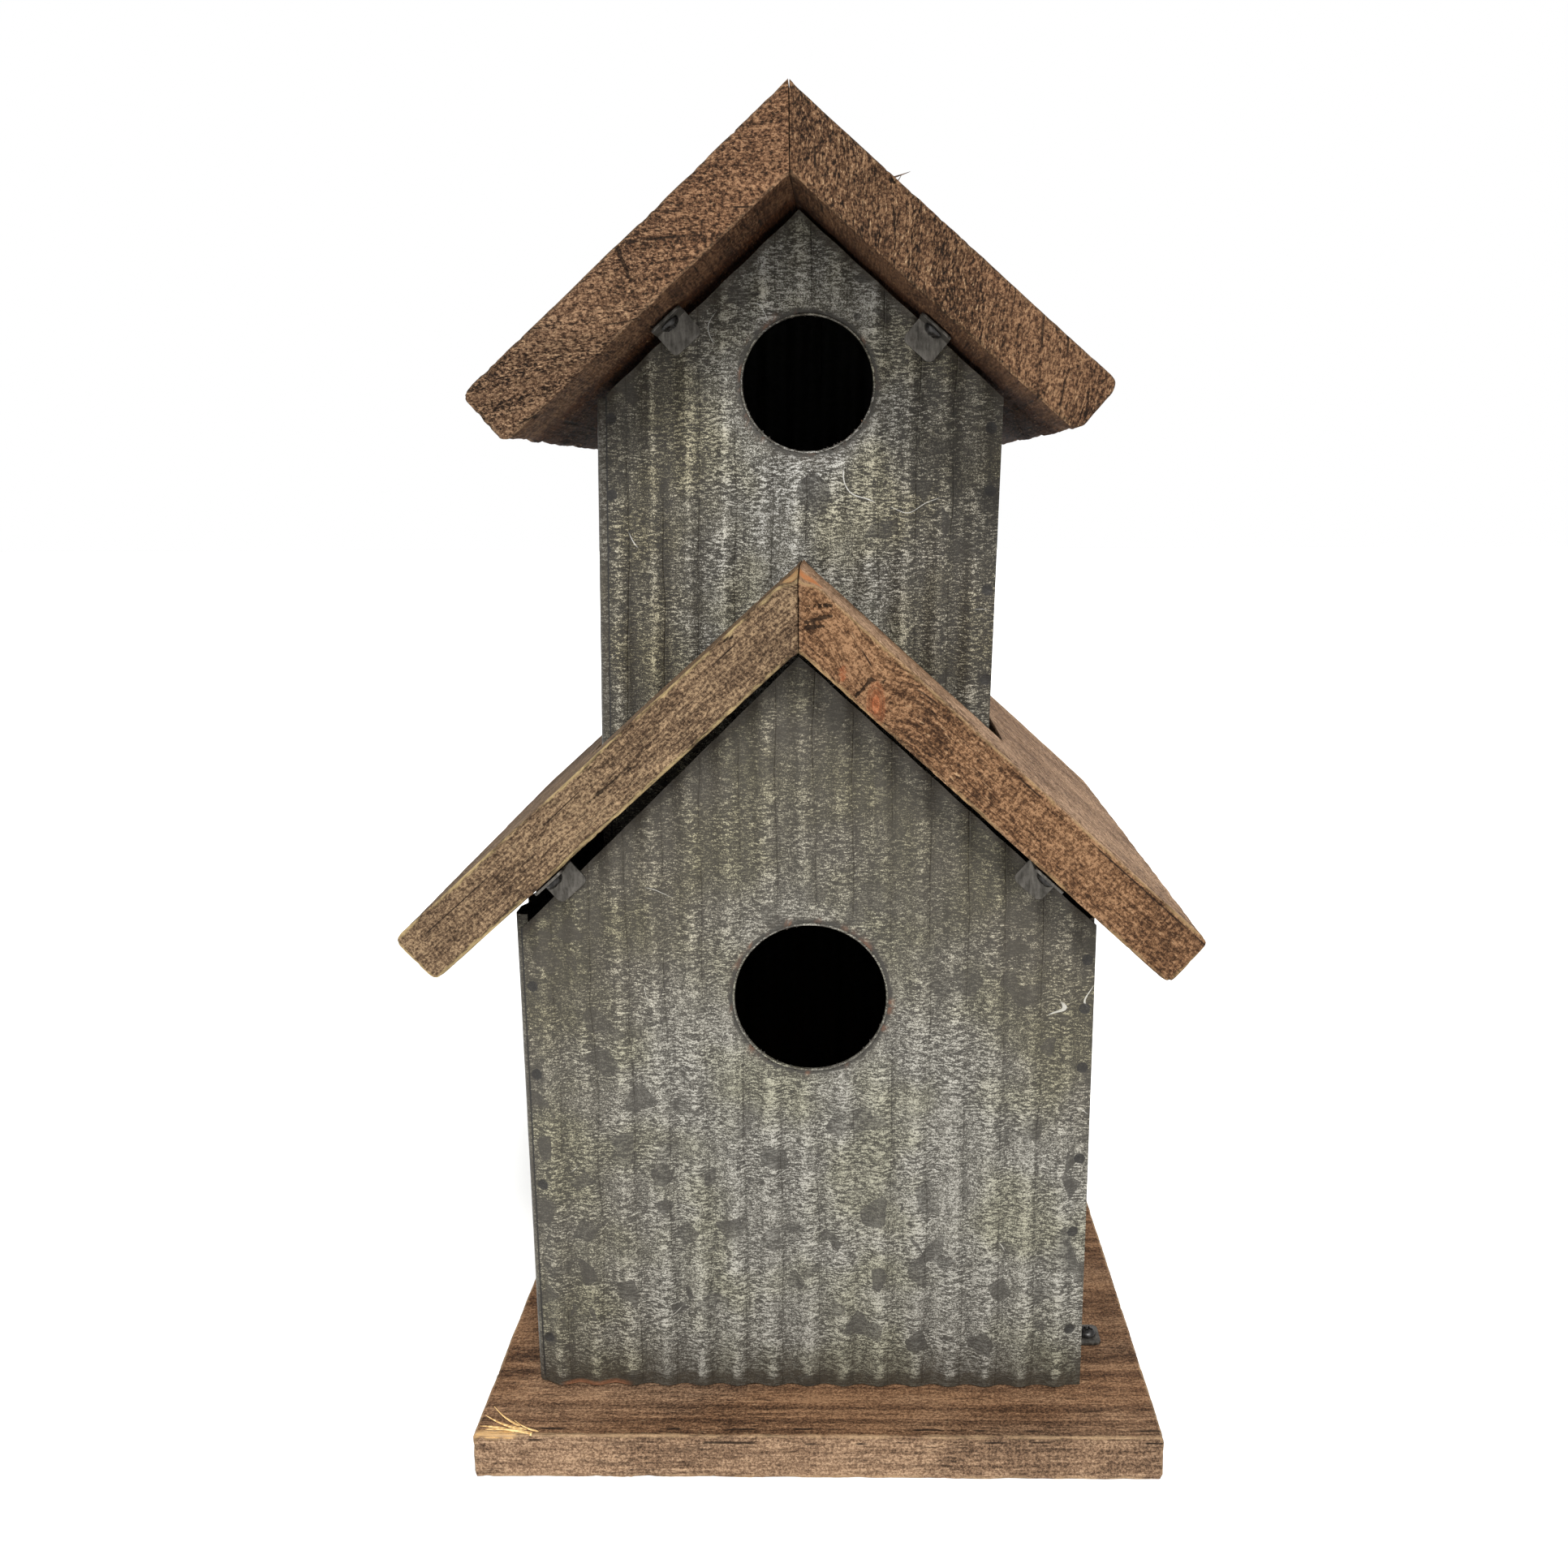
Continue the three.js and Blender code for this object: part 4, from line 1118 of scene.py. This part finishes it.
SPLINTERS = {
    "base": [((-94, -114.5, 15.2), (-108.5, -109.5, 16.9), 1.5),
             ((-92, -116.6, 15.3), (-107.0, -116.2, 16.6), 1.6),
             ((-96, -113.0, 15.2), (-106.5, -106.5, 18.2), 1.0),
             ((-98, -115.6, 15.2), (-109.5, -113.5, 15.9), 1.8),
             ((-90, -115.5, 15.3), (-99.0, -111.0, 16.4), 0.9)],
    "upper": [((21.6, -102.0, 395.5), (27.4, -101.8, 397.3), 1.7),
              ((23.4, -101.0, 394.0), (25.2, -100.8, 396.9), 1.0)],
}
place_piece(splinters("base_board_splinters", SPLINTERS["base"]),
            splinter_wood("base_splinter_wood", "9a7440", "d2b37c"))
place_piece(splinters("upper_roof_splinters", SPLINTERS["upper"]),
            splinter_wood("upper_splinter_wood", "33241a", "5e452f"))

for storey, metal in GALVANISED.items():
    lean = lean_of(f"{storey}_front_panel")
    welds = upright(np.array([[x * MM, 0, z * MM] for x, z in WELDS[storey]]), lean)[:, [0, 2]]
    corner = FRONT_CORNER if storey == "lower" else 0.0
    front, shape = gable_panel(f"{storey}_front_panel", storey, 1, welds, corner)
    settle(front, f"{storey}_front_panel", metal)
    place_piece(hole_lip(f"{storey}_entrance_lip", shape), metal)
    rear = gable_panel(f"{storey}_back_panel", storey, -1, welds * np.array([-1, 1]))[0]
    settle(rear, f"{storey}_back_panel", metal)
    for side in ("left", "right"):
        node = f"{storey}_{side}_side_panel"
        settle(side_panel(node, storey, side), node, metal)

for node in sorted(NODES):
    if "clip_screw" in node:
        settle(pan_screw(node), node, SCREW_STEEL)
    elif "clip" in node:
        settle(bent_clip(node), node, CLIP_STEEL)

# ---------------------------------------------------------------- camera, light and floor

CAMERA_AT = Vector((11.36, -525.2, 315.6)) * MM
CAMERA_YAW, CAMERA_PITCH, CAMERA_ROLL = 0.0137, 0.2178, -0.004
CAMERA_LENS, CAMERA_SHIFT = 33.17, (-0.0312, 0.0085)
SUN_SIDE, SUN_HEIGHT = math.radians(14), math.radians(43)
FILL_AT, FILL_SIZE, HOUSE_MIDDLE = Vector((-1.3, -1.3, 0.6)), 1.2, Vector((0, 0, 0.2))
FLOOR_HALF, FLOOR_GAP = 6.0, 0.05 * MM

looking = Vector((-math.sin(CAMERA_YAW) * math.cos(CAMERA_PITCH),
                  math.cos(CAMERA_YAW) * math.cos(CAMERA_PITCH), -math.sin(CAMERA_PITCH)))
level = Vector((math.cos(CAMERA_YAW), math.sin(CAMERA_YAW), 0))
above = level.cross(looking)
to_right = level * math.cos(CAMERA_ROLL) + above * math.sin(CAMERA_ROLL)
upwards = above * math.cos(CAMERA_ROLL) - level * math.sin(CAMERA_ROLL)
camera = bpy.data.objects.new("camera", bpy.data.cameras.new("camera"))
bpy.context.scene.collection.objects.link(camera)
turned = Matrix((to_right, upwards, -looking)).transposed().to_4x4()
camera.matrix_world = Matrix.Translation(CAMERA_AT) @ turned
camera.data.sensor_width = 36
camera.data.lens = CAMERA_LENS
camera.data.shift_x, camera.data.shift_y = CAMERA_SHIFT
camera.data.clip_start = 0.01
bpy.context.scene.camera = camera

fill = bpy.data.objects.new("fill", bpy.data.lights.new("fill", "AREA"))
fill.data.shape = "RECTANGLE"
fill.data.size = fill.data.size_y = FILL_SIZE
fill.data.energy = 9
fill.location = FILL_AT
fill.rotation_euler = (HOUSE_MIDDLE - FILL_AT).to_track_quat("-Z", "Y").to_euler()
bpy.context.scene.collection.objects.link(fill)

sun = bpy.data.objects.new("key", bpy.data.lights.new("key", "SUN"))
sun.data.energy = 4.4
sun.data.angle = math.radians(18)
from_sun = Vector((math.sin(SUN_SIDE) * math.cos(SUN_HEIGHT), -math.cos(SUN_SIDE) * math.cos(SUN_HEIGHT),
                   math.sin(SUN_HEIGHT)))
sun.rotation_euler = from_sun.to_track_quat("Z", "Y").to_euler()
bpy.context.scene.collection.objects.link(sun)

world = bpy.data.worlds.new("studio")
bpy.context.scene.world = world
world.use_nodes = True
world.node_tree.nodes["Background"].inputs["Color"].default_value = (1, 1, 1, 1)
world.node_tree.nodes["Background"].inputs["Strength"].default_value = 1.0
bpy.context.scene.view_settings.view_transform = "Standard"

floor_level = CAD_BOX[0].z - FLOOR_GAP
corners = [(x * FLOOR_HALF, y * FLOOR_HALF, floor_level) for x, y in ((-1, -1), (1, -1), (1, 1), (-1, 1))]
floor = object_from("floor", corners, [(0, 1, 2, 3)])
paper = Shader("floor_paper", Roughness=0.9)
mottle = paper.noise(paper.place(), 3, 2)
paper.set("Base Color", paper.mix(mottle, (0.88, 0.88, 0.87, 1), (0.92, 0.92, 0.91, 1)))
floor.data.materials.append(paper.material)
